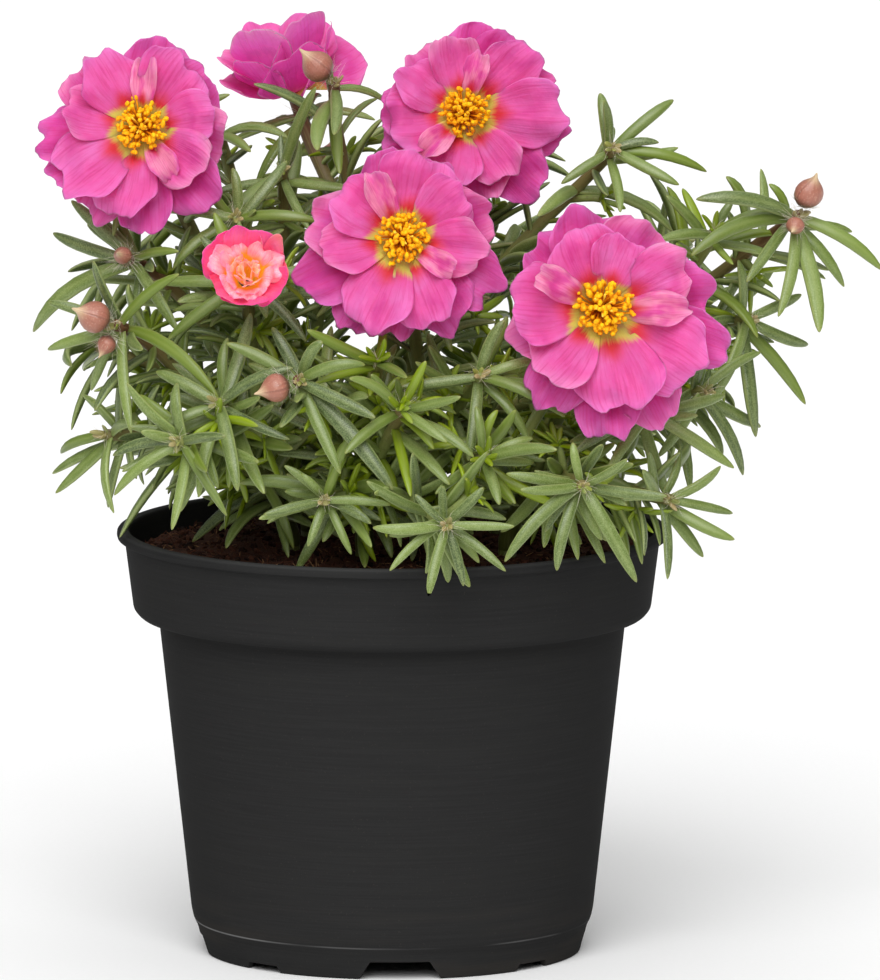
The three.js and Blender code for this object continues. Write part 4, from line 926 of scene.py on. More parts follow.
def add_if_clear(leaves, node, foot, look, angle, tilt, length, draw, width):
    """Adds a leaf where there is room for it, also in the solids' box."""
    leaf = place_leaf(node, foot, look, angle, tilt, length, draw, width, FEW_TRIES)
    if leaf and inside_box(leaf["curve"].at(1)):
        leaves.append(leaf)


def grow_extra(plants):
    """More side leaves wherever there is still room, by the same rule."""
    for plant in plants:
        draw = seeded(EXTRA_SEED + SEED_STEP * plant["node"])
        for grown in plant["grown"]:
            curve = grown["curve"]
            top = 1 - (whorl_drop(grown["shoot"]) + 2) / curve.length()
            for i in range(EXTRA_LEAVES):
                share = mix(LOWEST_EXTRA, top, (i + 0.5) / EXTRA_LEAVES)
                look = look_frame(curve.way_at_share(share))
                angle, tilt = GOLDEN_ANGLE * i + draw(*EXTRA_TURNS), draw(*EXTRA_TILTS)
                foot, size = curve.at_share(share), draw(*EXTRA_SIZES)
                add_if_clear(grown["leaves"], plant["node"], foot, look, angle, tilt, size, draw, EXTRA_WIDTH)


def grow_tufts(plants):
    """Small young shoots in the leaf axils: a few short upright leaves round one point."""
    for plant in plants:
        draw = seeded(TUFT_SEED + SEED_STEP * plant["node"])
        plant["tufts"] = []
        rows = [(plant["trunk"], TRUNK_TUFT_SPAN, TRUNK_TUFTS)]
        rows += [(grown["curve"], TUFT_SPAN, TUFTS) for grown in plant["grown"]]
        for curve, span, count in rows:
            for i in range(count):
                add_tuft(plant, curve, mix(*span, (i + draw(*TUFT_STEPS)) / count), draw)


def add_tuft(plant, curve, share, draw):
    """Finds a place for one tuft that is clear of blooms, pot and soil, if there is one."""
    look = look_frame(curve.way_at_share(share))
    foot = curve.at_share(share)
    for _ in range(TUFT_TRIES):
        way = leaning(look, draw(*TUFT_LEANS), draw(0, 2 * math.pi))
        heart = foot + way * draw(*TUFT_STALKS)
        if not room.meets_fixed(heart + way * 4, 2.0, None):
            stalk = Curve(foot, mix(foot, heart, 0.6) + look[2], heart)
            plant["tufts"].append((stalk, ring_of_leaves(plant["node"], heart, way, draw)))
            return


def grow_trunk_leaves(plants):
    """Old leaves low down on the trunks, where the plant is darkest."""
    for plant in plants:
        draw = seeded(TRUNK_SEED + SEED_STEP * plant["node"])
        trunk = plant["trunk"]
        for i in range(TRUNK_LEAVES):
            share = mix(LOWEST_TRUNK_LEAF, 1.0, (i + 0.5) / TRUNK_LEAVES)
            look = look_frame(trunk.way_at_share(share))
            angle, tilt = GOLDEN_ANGLE * i + draw(*EXTRA_TURNS), draw(*TRUNK_TILTS)
            foot, size = trunk.at_share(share), draw(*TRUNK_SIZES)
            leaves = plant["grown"][0]["leaves"]
            add_if_clear(leaves, plant["node"], foot, look, angle, tilt, size, draw, EXTRA_WIDTH)


def ring_of_leaves(node, heart, way, draw):
    """The leaves of one tuft, shorter and steeper towards its middle."""
    leaves = []
    for i in range(TUFT_LEAVES):
        angle = GOLDEN_ANGLE * i + draw(*TUFT_TURNS)
        tilt = mix(*TUFT_TILTS, i / TUFT_LEAVES) + draw(-8, 8)
        size = mix(*TUFT_SIZES, i / TUFT_LEAVES) * draw(0.8, 1.1)
        foot = heart - way * 0.8
        add_if_clear(leaves, node, foot, look_frame(way), angle, tilt, size, draw, TUFT_WIDTH)
    return leaves


def tip_leaves(shoot, draw):
    """Small upright leaves at the heart of a whorl: fresh green on young shoots, tiny and tan on others."""
    look = look_frame(facing(shoot))
    face = look[2]
    tip = np.array(shoot["tip"], float)
    young = shoot.get("young", False)
    leaves = []
    for i in range(TIP_LEAVES):
        a = math.radians(GOLDEN_ANGLE * i + draw(*TUFT_TURNS))
        b = math.radians(draw(*TIP_TILTS))
        size = draw(*TIP_SIZES) * (1.0 if young else WITHERED)
        tan = 0.0 if young else draw(0.1, 0.9)
        way = rising(look, a, b)
        foot = tip - face * 0.6
        curve = Curve(foot, foot + way * (0.5 * size), foot + way * (0.9 * size) + face * (0.25 * size))
        leaves.append({"curve": curve, "upper": face, "length": size, "tan": tan})
    return leaves


def add_shoot(stems, leaves, grown, draw):
    """One shoot and its leaves. Those that bear blooms or buds are ruddy."""
    shoot, curve = grown["shoot"], grown["curve"]
    young, blooming = shoot.get("young", False), bears_bloom(shoot)
    tip_radius = BLOOM_STEM_RADIUS if blooming else SHOOT_TIP_RADIUS
    end = 1 - STEM_END_UNDER_BLOOM / curve.length() if blooming else 1.0
    ruddy = 1.0 if blooming or "buds" in shoot else draw(0.1, 0.7)
    add_stem(stems, curve, SHOOT_ROOT_RADIUS, tip_radius, (1, draw(0, 1), ruddy), end=end)
    for leaf in grown["leaves"]:
        add_leaf(leaves, leaf, draw, draw(0.2, 0.6) if young else draw(0.35, 1.0))
    if not blooming:
        for leaf in tip_leaves(shoot, draw):
            add_leaf(leaves, leaf, draw, draw(0, 0.3) if young else draw(0.2, 0.6))


def make_stem(plant, fleshy_leaf, juicy_stem):
    """One leafy stem: its trunk and shoots, and all their leaves."""
    stems, leaves = Skin(), Skin()
    name, trunk, draw = plant["stem"]["name"], plant["trunk"], seeded(STEM_SEED + plant["node"])
    foot = trunk.at(0)
    hole = Curve(foot - UP * (HOLE_DEPTH - 0.7), foot - UP * 6, foot + UP * 0.4)
    add_stem(stems, hole, TRUNK_RADIUS, TRUNK_RADIUS, (0, 0.5, 0), steps=3)
    add_stem(stems, trunk, TRUNK_RADIUS, FORK_RADIUS, (0, 0.5, 0), steps=18)
    for grown in plant["grown"]:
        add_shoot(stems, leaves, grown, draw)
    for stalk, tuft in plant["tufts"]:
        add_stem(stems, stalk, TUFT_STALK_RADIUS, 0.8, (1, draw(0, 1), 0), sides=8, steps=4)
        for leaf in tuft:
            add_leaf(leaves, leaf, draw, draw(0, 0.3))
    for made in (stems.make(name + "_stems", juicy_stem), leaves.make(name + "_leaves", fleshy_leaf)):
        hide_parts(name)


# ---------------------------------------------------------------- blooms

FIRST_FOOT = 0.55 * PETAL_ROOT
PETAL_ROWS = 20
PETAL_COLUMNS = 18
SHEET = 0.3
RIM_STRIP = 0.02
FOLD_SPAN = 5.5
LONG_FOLDS = 0.9
SOFT_FOLDS = 3.0
EDGE_FOLDS = 1.1
SHOULDER = 0.22
NOTCH = 0.05
WANDER = 0.14
NICKS = 0.035
UNEVEN_TURN = 4
UNEVEN_REACH = 0.06
UNEVEN_WIDTH = 0.1


def crumpled(place, spot, lay, u, v):
    """Soft folds of a petal: long ones from its root, and rounder ones towards its edge.

    `place` is on the petal and `spot` on the bloom: petals of one ring fold alike where they overlap.
    """
    x, y, phase = place
    long_folds = noise.noise(Vector((x / 16, y / 2.4, 5.3 * phase)))
    soft_folds = 0.45 * noise.noise(Vector((x / FOLD_SPAN, y / 5.0, 9.1 * phase)))
    soft_folds += 0.65 * noise.noise(Vector(spot))
    edge_folds = noise.noise(Vector((x / 3.6, y / 3.0, 7.7 * phase)))
    edge = max(abs(v) ** 3 * min(1.0, 2 * u), u**4)
    depth = LONG_FOLDS * u * long_folds + SOFT_FOLDS * u * soft_folds + EDGE_FOLDS * edge * edge_folds
    return LAYS[lay]["crumple"] * depth


def closing(bloom, away):
    """How far the petals on one side of a half-closed bloom fold up over its heart."""
    return bloom.get("close", 0.0) * max(0.0, min(1.0, 0.35 - away[1]))


def lengthened(bloom, angle):
    """Petals on one side of a bloom are longer: `long` gives that side's angle and the share."""
    side, share = bloom.get("long", (0, 0))
    return 1 + share * math.cos(angle + math.radians(bloom["turn"] - side))


def petal_share(phase, calm, u, v):
    """How far out a point of the petal lies: its shoulders, notch, wandering edge and nicks fall short."""
    shoulder = (SHOULDER + 0.05 * math.sin(3 * phase) + 0.16 * (1 - calm)) * abs(v) ** 2.4 * u
    notch = (NOTCH + NOTCH * math.sin(5 * phase)) * (1 - abs(v)) ** 2 * u**5
    wander = WANDER * noise.noise(Vector((1.5 * v, 3.3 * phase, 0))) * u**4
    nicks = NICKS * noise.noise(Vector((4.6 * v, 6.1 * phase, 2))) * u**8
    return u * (1 - shoulder - notch + calm * (wander + nicks))


def petal_width(u):
    """A petal's share of its full width: narrow at its root, full further out, a little less at its tip."""
    return 0.14 + 0.86 * math.sin(math.pi * 0.5 * u**0.85) - 0.18 * u**6


def petal_climb(lay, share):
    """A petal's height over the bloom's base, between the three heights of its lay."""
    return lay["foot"] * (1 - share) + 2 * lay["mid"] * share * (1 - share) + lay["tip"] * share * share


def petal_point(form, phase, look, bloom, u, v):
    """A point on a petal's sheet. u runs from its root to its tip, v from -1 to 1 across it."""
    right, top, face = look
    scale, raised, calm = bloom["scale"], bloom.get("raised", 1), bloom.get("calm", 1)
    lay = LAYS[form["lay"]]
    angle = math.radians(form["angle"] + UNEVEN_TURN * math.sin(17 * phase))
    c, s = math.cos(angle), math.sin(angle)
    away, aside = right * c + top * s, top * c - right * s
    longer, wider = 1.01 + UNEVEN_REACH * math.sin(23 * phase), 1 + UNEVEN_WIDTH * math.sin(29 * phase)
    half = 0.5 * form["width"] * scale * petal_width(u) * wider * lay["wider"]
    share = petal_share(phase, calm, u, v)
    reach = form["reach"] * longer * lengthened(bloom, angle) * scale
    out = mix(form.get("root", FIRST_FOOT) * scale, reach, share)
    across = half * v
    wave = calm * lay["wave"] * u**3 * math.sin((2.2 + 0.5 * math.sin(7 * phase)) * math.pi * v + phase)
    cup = lay["cup"] * abs(v) * half * u
    fold = closing(bloom, away)
    lift = fold * form["reach"] * share**1.4
    level = 3.1 * len(form["lay"]) + 2.3 * bloom["turn"]
    spot = ((out * c - across * s) / FOLD_SPAN, (out * s + across * c) / FOLD_SPAN, level)
    folds = calm * crumpled((out, across, phase), spot, form["lay"], u, v)
    height = scale * (raised * (petal_climb(lay, share) + cup + wave) + lift + folds)
    height += lay["slant"] * across * u
    return away * (out * (1 - 0.35 * fold * u)) + aside * across + face * height


def stops(count):
    """Places from 0 to 1, evenly spaced but for a narrow strip at each end."""
    inner = [mix(RIM_STRIP, 1 - RIM_STRIP, k / (count - 2)) for k in range(count - 1)]
    return [0.0] + inner + [1.0]


def add_petal(skin, form, phase, look, place, bloom, sort):
    """A thin blade with two faces that share their edge."""
    lift = look[2] * (0.5 * SHEET)
    rows = []
    for i, u in enumerate(stops(PETAL_ROWS)):
        upper, lower = [], []
        for j, share in enumerate(stops(PETAL_COLUMNS)):
            v = 2 * share - 1
            p = place + petal_point(form, phase, look, bloom, u, v)
            edge = i in (0, PETAL_ROWS) or j in (0, PETAL_COLUMNS)
            mark = (u, v, phase % 1)
            upper.append(skin.add(p if edge else p + lift, mark, sort))
            lower.append(upper[-1] if edge else skin.add(p - lift, mark, (sort[0], sort[1], -1)))
        rows.append((upper, lower))
    for (upper, lower), (far_upper, far_lower) in zip(rows, rows[1:]):
        for j in range(PETAL_COLUMNS):
            skin.faces.append((upper[j], far_upper[j], far_upper[j + 1], upper[j + 1]))
            skin.faces.append((lower[j], lower[j + 1], far_lower[j + 1], far_lower[j]))


def blush(k):
    """How coral a petal is: some of a bloom's petals are, most aren't."""
    return 0.5 + 0.5 * math.sin(2.3 * k + 0.6)


def make_corolla(name, stalk, bloom, rings, finish):
    """The petals of a bloom, ring by ring. Returns its look and place too."""
    look = turned_frame(facing(stalk), bloom["turn"])
    place = np.array(stalk["tip"], float)
    skin = Skin()
    for level, forms in enumerate(rings):
        for k, form in enumerate(forms):
            sort = (2.0 if form["lay"] == "strip" else float(level), blush(k + 4 * level), 1.0)
            add_petal(skin, form, 1.7 * k + level + 0.01 * bloom["turn"], look, place, bloom, sort)
    return skin.make(name, finish), look, place


def add_bead(skin, centre, look, radii, mark, sort):
    """A small rounded grain."""
    right, top, face = look
    loops = []
    for turn in (-55, 0, 55):
        c, s = math.cos(math.radians(turn)), math.sin(math.radians(turn))
        middle = centre + face * (radii[1] * s)
        loops.append((round_points(middle, right, top, radii[0] * c, 6), [mark] * 6))
    skin.tube(loops, sort, (centre - face * radii[1], mark), (centre + face * radii[1], mark))


# Heights over the bloom's base or its floor, with radii.
CALYX_SHAPE = ((-1.5, 0.9), (-1.1, 1.7), (-0.7, 2.5), (-0.35, 3.1), (-0.2, 3.2))
CUSHION_SHAPE = ((-0.3, 3.0), (0.4, 2.7), (1.4, 2.0), (2.0, 1.0))
CUSHION_TOP = 2.2
STAMEN_SEED = 31
STAMENS = 84
FILAMENTS = (3.5, 5.3)
FILAMENT_BENDS = (-0.16, 0.16)
ANTHER_RADII = ((0.45, 0.66), (0.6, 1.05))
SECOND_ANTHER = (0.4, 0.55)
SINGLE_ANTHERS = 0.45
WIDEST_LEAN = math.radians(66)
STYLES = 6
STYLE_LENGTH = 5.4
STYLE_LEAN = 0.32


def leaning(look, lean, round_turn):
    right, top, face = look
    c, s = math.cos(lean), math.sin(lean)
    return unit((right * math.cos(round_turn) + top * math.sin(round_turn)) * s + face * c)


def add_thread(skin, foot, way, length, thin, thick, sort, bend):
    """A filament that thickens to its end."""
    right, top, _ = look_frame(way)
    loops = []
    for t in (0, 0.35, 0.7, 1.0):
        place = foot + way * (length * t) + bend * (length * t * t)
        loops.append((round_points(place, right, top, mix(thin, thick, t), 5), [(t, 0, 0)] * 5))
    skin.tube(loops, sort, end=(place + way * thick, (1, 0, 0)))
    return place


def add_cushion(skin, place, look, floor, scale):
    """The low green-yellow cushion that the stamens stand on."""
    right, top, face = look
    loops = []
    for height, radius in CUSHION_SHAPE:
        points = round_points(place + face * ((floor + height) * scale), right, top, radius * scale, 16)
        loops.append((points, [(0, 0, 0)] * 16))
    skin.tube(loops, (0.0, 0.5, 0), end=(place + face * ((floor + CUSHION_TOP) * scale), (0, 0, 0)))


def make_stamens(name, stalk, bloom, finish):
    """The clump of stamens round a few pale styles, on its cushion."""
    look = turned_frame(facing(stalk), bloom["turn"])
    right, top, face = look
    scale, raised = bloom["scale"], bloom.get("raised", 1)
    place = np.array(stalk["tip"], float)
    floor = LAYS["inner"]["foot"] * raised + 0.3
    draw = seeded(STAMEN_SEED + int(bloom["turn"]))
    skin = Skin()
    add_cushion(skin, place, look, floor, scale)
    for i in range(STAMENS):
        lean = WIDEST_LEAN * math.sqrt((i + 0.5) / STAMENS) + draw(-0.1, 0.1)
        turn = math.radians(GOLDEN_ANGLE * i) + draw(-0.2, 0.2)
        way = leaning(look, lean, turn)
        foot = place + face * ((floor + 0.6) * scale) + way * (1.2 * scale)
        length = draw(*FILAMENTS) * scale
        bend = right * draw(*FILAMENT_BENDS) + top * draw(*FILAMENT_BENDS)
        tone = draw(0, 1)
        end = add_thread(skin, foot, way, length, 0.2 * scale, 0.16 * scale, (1.0, tone, 0), bend)
        lie = leaning(look, draw(0, 1.4), draw(0, 6.28))
        radii = [draw(*sizes) * scale for sizes in ANTHER_RADII]
        add_bead(skin, end, look_frame(lie), radii, (1, 0, 0), (2.0, tone, 0))
        if draw(0, 1) > SINGLE_ANTHERS:
            beside = end + lie * (0.6 * scale) + bend
            radii = [size * scale for size in SECOND_ANTHER]
            add_bead(skin, beside, look_frame(way), radii, (1, 0, 0), (2.0, tone, 0))
    for i in range(STYLES):
        way = leaning(look, STYLE_LEAN + draw(-0.05, 0.1), 2 * math.pi * i / STYLES + 0.4)
        foot = place + face * ((floor + 1.6) * scale)
        length = STYLE_LENGTH * scale
        add_thread(skin, foot, way, length, 0.3 * scale, 0.22 * scale, (3.0, 0.5, 0), face * 0.05)
    return skin.make(name, finish)


def make_calyx(name, stalk, bloom, finish):
    """The green base under a bloom."""
    right, top, face = turned_frame(facing(stalk), bloom["turn"])
    place = np.array(stalk["tip"], float)
    skin = Skin()
    mark = (0.9, 0, 0)
    loops = []
    for height, radius in CALYX_SHAPE:
        points = round_points(place + face * height, right, top, radius * bloom["scale"], 14)
        loops.append((points, [mark] * 14))
    skin.tube(loops, (1, 0.4, 0.6), (place + face * CALYX_SHAPE[0][0], mark), (place, mark))
    return skin.make(name, finish)


def make_bloom(stalk, rosy, gold, green):
    """An open bloom: its petals, stamens and green base."""
    bloom = stalk["bloom"]
    name = bloom["name"]
    rings = SIDE_BLOOM if "close" in bloom else OPEN_BLOOM
    corolla, _, _ = make_corolla(name + "_corolla", stalk, bloom, rings, rosy)
    stamens = make_stamens(name + "_anthers", stalk, bloom, gold)
    calyx = make_calyx(name + "_calyx", stalk, bloom, green)
    for made, solid, slot in ((corolla, "_petals", "petals"), (calyx, "_petals", "petals"),
                              (stamens, "_stamens", "stamens")):
        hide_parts(name + solid)


# ---------------------------------------------------------------- half-open bloom and buds

# Angle, reach and width of the crumpled petals in the cup, then angle and reach of those at its heart.
FOLDS = ((15, 7.2, 7.0), (88, 7.4, 6.4), (150, 7.2, 6.8), (222, 6.0, 6.4), (290, 6.4, 6.8),
         (50, 5.2, 6.0), (130, 5.6, 5.8), (200, 4.6, 5.6), (335, 5.2, 6.0), (265, 4.6, 5.2))
CORE_FOLDS = 7
CORE_WIDTH = 5.0
HEART_FOLDS = ((20, 2.4), (140, 1.9), (255, 2.2))
HEART_WIDTH = 3.6
HEART_ROOT = 0.1


def make_opening(stalk, coral, pale):
    """A bloom that is half open: a cup of petals crammed with crumpled ones."""
    bloom = stalk["opening"]
    name = bloom["name"]
    petals, look, place = make_corolla(name + "_cup", stalk, bloom, OPENING_BLOOM, coral)
    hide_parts(name + "_petals")
    skin = Skin()
    for k, (angle, reach, width) in enumerate(FOLDS):
        form = new_petal("fold", angle, reach, width)
        add_petal(skin, form, 2.1 * k, look, place, bloom, (0.0, (0.37 * k) % 1, 1.0))
    for k in range(CORE_FOLDS):
        form = new_petal("core", 360 * k / CORE_FOLDS + 40, 0.6 + 1.3 * (k % 3), CORE_WIDTH)
        add_petal(skin, form, 1.3 * k, look, place, bloom, (1.0, k / CORE_FOLDS, 1.0))
    for angle, reach in HEART_FOLDS:
        form = {**new_petal("core", angle, reach, HEART_WIDTH), "root": HEART_ROOT}
        add_petal(skin, form, angle / 50, look, place, bloom, (1.0, angle / 360, 1.0))
    heart = skin.make(name + "_folds", pale)
    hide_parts(name + "_heart")


BUD_SIDES = 20
BUD_SWELLS = 1.08
BUD_LEANS = 0.05
BUD_SHAPE = ((0.0, 0.42), (0.05, 0.6), (0.13, 0.82), (0.22, 0.95), (0.34, 1.0), (0.45, 0.95), (0.56, 0.8),
             (0.66, 0.57), (0.76, 0.32), (0.86, 0.15), (0.95, 0.08))


def bud_loop(bud, centre, right, top, along, size):
    """A loop round a bud, with a low keel along each sepal's edge."""
    points, marks = [], []
    for i in range(BUD_SIDES):
        a = 2 * math.pi * i / BUD_SIDES
        keel = 1 - 0.07 * abs(math.sin(a)) + 0.03 * math.exp(-((math.sin(a) * 5) ** 2))
        radius = BUD_SWELLS * bud["radius"] * size * keel
        points.append(centre + right * (radius * math.cos(a)) + top * (radius * math.sin(a)))
        marks.append((along, math.cos(a), math.sin(a)))
    return points, marks


def make_bud(stalk, bud, finish):
    """A closed bud: two sepals that overlap along a seam and draw out to a point."""
    way = unit(np.array(bud["way"], float))
    foot = bud_foot(stalk, way)
    right, top, face = look_frame(way)
    length = bud["length"]
    loops = []
    for along, size in BUD_SHAPE:
        swing = BUD_LEANS * length * math.sin(math.pi * along)
        centre = foot + face * (length * along) + right * swing
        loops.append(bud_loop(bud, centre, right, top, along, size))
    skin = Skin()
    sort = (bud["radius"] / 3.5, (length * 7.3) % 1, 0)
    skin.tube(loops, sort, (foot, (0, 0, 0)), (foot + face * length, (1, 0, 0)))
    made = skin.make(bud["name"] + "_sepals", finish)
    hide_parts(bud["name"])


# ---------------------------------------------------------------- white hairs in the leaf axils

HAIR_SEED = 77
HAIRS_AT_TIP = 18
HAIRS_AT_BUD = 80
HAIR_THICKNESS = 0.05
BLOOM_HAIRS = {"below": 7, "reach": 5}
WHORL_HAIR_REACH = 3.0
BUD_HAIRS = {"below": 0.6, "reach": 3.6}


def hair_tuft(skin, place, way, count, reach, draw):
    """Fine hairs that stand out round a place, along a stem's way."""
    look = look_frame(way)
    for _ in range(count):
        lean = draw(0.3, 1.5)
        turn = draw(0, 2 * math.pi)
        out = leaning(look, lean, turn)
        bend = leaning(look, draw(0.4, 2.4), turn + draw(-2, 2))
        add_hair(skin, place + out * 0.8, out, draw(0.4, 1.0) * reach, bend * draw(0.3, 1.0))


def make_hairs(plants, finish):
    """White hairs under the blooms, in the whorls and round the buds."""
    skin = Skin()
    draw = seeded(HAIR_SEED)
    for plant in plants:
        for grown in plant["grown"]:
            shoot, curve = grown["shoot"], grown["curve"]
            if bears_bloom(shoot):
                place = curve.at_share(1 - BLOOM_HAIRS["below"] / curve.length())
                hair_tuft(skin, place, facing(shoot), HAIRS_AT_TIP, BLOOM_HAIRS["reach"], draw)
                continue
            place = np.array(shoot["tip"], float)
            hair_tuft(skin, place, facing(shoot), HAIRS_AT_TIP, WHORL_HAIR_REACH, draw)
            for bud in shoot.get("buds", []):
                way = unit(np.array(bud["way"], float))
                place = bud_foot(shoot, way) - way * BUD_HAIRS["below"]
                hair_tuft(skin, place, way, HAIRS_AT_BUD, BUD_HAIRS["reach"], draw)
    made = skin.make("axil_hairs", finish)


# ---------------------------------------------------------------- pot and soil

POT_SIDES = 160
DRILL_SIDES = 32
FILLET = 0.6
SHARPEST_SMOOTH = math.radians(32)


def filleted(profile, cut):
    """Rounds the corners of a profile with three points each."""
    points = [np.array(p, float) for p in profile]
    rounded = [points[0]]
    for before, here, after in zip(points, points[1:], points[2:]):
        back, on = before - here, after - here
        reach_back = min(cut, 0.42 * math.hypot(*back))
        reach_on = min(cut, 0.42 * math.hypot(*on))
        first = here + back * (reach_back / math.hypot(*back))
        last = here + on * (reach_on / math.hypot(*on))
        rounded += [first, 0.25 * first + 0.5 * here + 0.25 * last, last]
    return rounded + [points[-1]]


def lathe(skin, profile, sides, sort):
    """Turns a profile of (radius, height) about +Z. Points at radius 0 close the skin."""
    below = None
    for radius, height in profile:
        if radius < 1e-6:
            middle = skin.add(np.array([0, 0, height]), (0, height, 0), sort)
            if below:
                skin.fan(below, middle)
            ring = [middle] * sides
        else:
            points = round_points(UP * height, EAST, NORTH, radius, sides)
            ring = skin.ring(points, [(radius, height, 0)] * sides, sort)
            if below and below[0] == below[1]:
                skin.fan(ring[::-1], below[0])
            elif below:
                skin.band(below, ring)
        below = ring


def pot_profile():
    """Up the outside from the foot's middle, over the lip and down the inside."""
    outer = [
        (0, 0),
        (FOOT_BOSS_RADIUS, 0),
        (FOOT_BOSS_RADIUS + 1, FLOOR_UNDERSIDE),
        (FOOT_RADIUS - WALL, FLOOR_UNDERSIDE),
        (FOOT_RADIUS - WALL - 0.2, 0),
        (FOOT_RADIUS, 0),
        (FOOT_RADIUS + 1.2, 5.4),
        (BODY_FOOT_RADIUS - 0.5, 7.2),
        (BODY_FOOT_RADIUS, BODY_FOOT_HEIGHT),
        (BODY_TOP_RADIUS, COLLAR_FOOT_HEIGHT - 0.8),
        (BODY_TOP_RADIUS + 0.9, COLLAR_FOOT_HEIGHT),
        (COLLAR_FOOT_RADIUS - 1.3, COLLAR_FOOT_HEIGHT),
        (COLLAR_FOOT_RADIUS, COLLAR_FOOT_HEIGHT + 1.5),
        (COLLAR_TOP_RADIUS, POT_HEIGHT - 2.4),
        (RIM_RADIUS, POT_HEIGHT - 2.0),
        (RIM_RADIUS, POT_HEIGHT - 0.5),
        (RIM_RADIUS - 0.7, POT_HEIGHT),
    ]
    inner = [
        (RIM_RADIUS - 2.6, POT_HEIGHT),
        (COLLAR_TOP_RADIUS - WALL, POT_HEIGHT - 1.4),
        (COLLAR_FOOT_RADIUS - WALL, COLLAR_FOOT_HEIGHT + 2.6),
        (BODY_TOP_RADIUS - WALL + 0.2, COLLAR_FOOT_HEIGHT + 1.2),
        (BODY_FOOT_RADIUS - WALL - 1, FLOOR_TOP),
        (0, FLOOR_TOP),
    ]
    return filleted(outer + inner, FILLET)


def notch_cutter(skin, azimuth, notch):
    """A wedge that cuts a notch through the foot ring, with slanted cheeks."""
    turn = math.radians(azimuth)
    out = np.array([math.cos(turn), math.sin(turn), 0])
    across = np.array([-math.sin(turn), math.cos(turn), 0])
    wide = FOOT_RADIUS * math.sin(math.radians(notch["angle"] / 2))
    narrow = wide - 0.8 * notch["height"]
    corners = ((-wide, -1), (wide, -1), (narrow, notch["height"]), (-narrow, notch["height"]))
    ends = (FOOT_RADIUS - 4, FOOT_RADIUS + 4)
    skin.block([[out * reach + across * y + UP * z for y, z in corners] for reach in ends])


def drain_drill(skin, azimuth):
    """A round bar that cuts a drain hole through the floor."""
    turn = math.radians(azimuth)
    centre = np.array([DRAIN_HOLE_RING * math.cos(turn), DRAIN_HOLE_RING * math.sin(turn), 0])
    ends = (FLOOR_UNDERSIDE - 1.8, FLOOR_TOP + 1.6)
    skin.block([round_points(centre + UP * z, EAST, NORTH, DRAIN_HOLE_RADIUS, DRILL_SIDES) for z in ends])


def make_pot(finish):
    """The pot: a turned shell with its notches and drain holes cut out."""
    skin = Skin()
    lathe(skin, pot_profile(), POT_SIDES, (0, 0, 0))
    pot = skin.make("pot_shell", finish)
    tools = Skin(NO_BOX)
    for notch in (DEEP_NOTCH, SHALLOW_NOTCH):
        for quarter in range(4):
            notch_cutter(tools, notch["first"] + 90 * quarter - 90 + NOTCH_TURN, notch)
    for quarter in range(4):
        drain_drill(tools, 45 + 90 * quarter)
    cutter = tools.make("pot_cutter", finish, smooth=False)
    cut = pot.modifiers.new("cut", "BOOLEAN")
    cut.operation = "DIFFERENCE"
    cut.solver = "EXACT"
    cut.object = cutter
    shown = bpy.context.evaluated_depsgraph_get()
    cleaned = bpy.data.meshes.new_from_object(pot.evaluated_get(shown))
    pot.modifiers.clear()
    pot.data = cleaned
    bpy.data.objects.remove(cutter)
    pot.data.set_sharp_from_angle(angle=SHARPEST_SMOOTH)
    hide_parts("pot")


SOIL_RINGS = 46
SOIL_SECTORS = 150
CRUMBS = 3200
CRUMB_SEED = 2203
FIBROUS = 0.66
FIBRE_RADIUS = 0.14


def soil_surface(x, y):
    """The fill's surface with its lumps."""
    place = Vector((x, y, 0)) * 0.35
    lumps = 0.55 * noise.noise(place) + 0.4 * noise.noise(place * 2.7) + 0.22 * noise.noise(place * 6.1)
    return soil_height(x, y) + lumps - 0.5


def add_crumb(skin, centre, size, draw):
    """One crumb of peat: a squashed grain, or one time in three a fibre."""
    way = unit(np.array([draw(-1, 1), draw(-1, 1), draw(-0.6, 0.6)]) + UP * 0.01)
    look = look_frame(way)
    tone = draw(0, 1)
    radii = (size * draw(0.45, 0.8), size * draw(0.6, 1.4))
    if tone > FIBROUS:
        radii = (FIBRE_RADIUS, 0.6 + 1.2 * size)
    add_bead(skin, centre, look, radii, (0, 0, 0), (1.0, tone, 0))


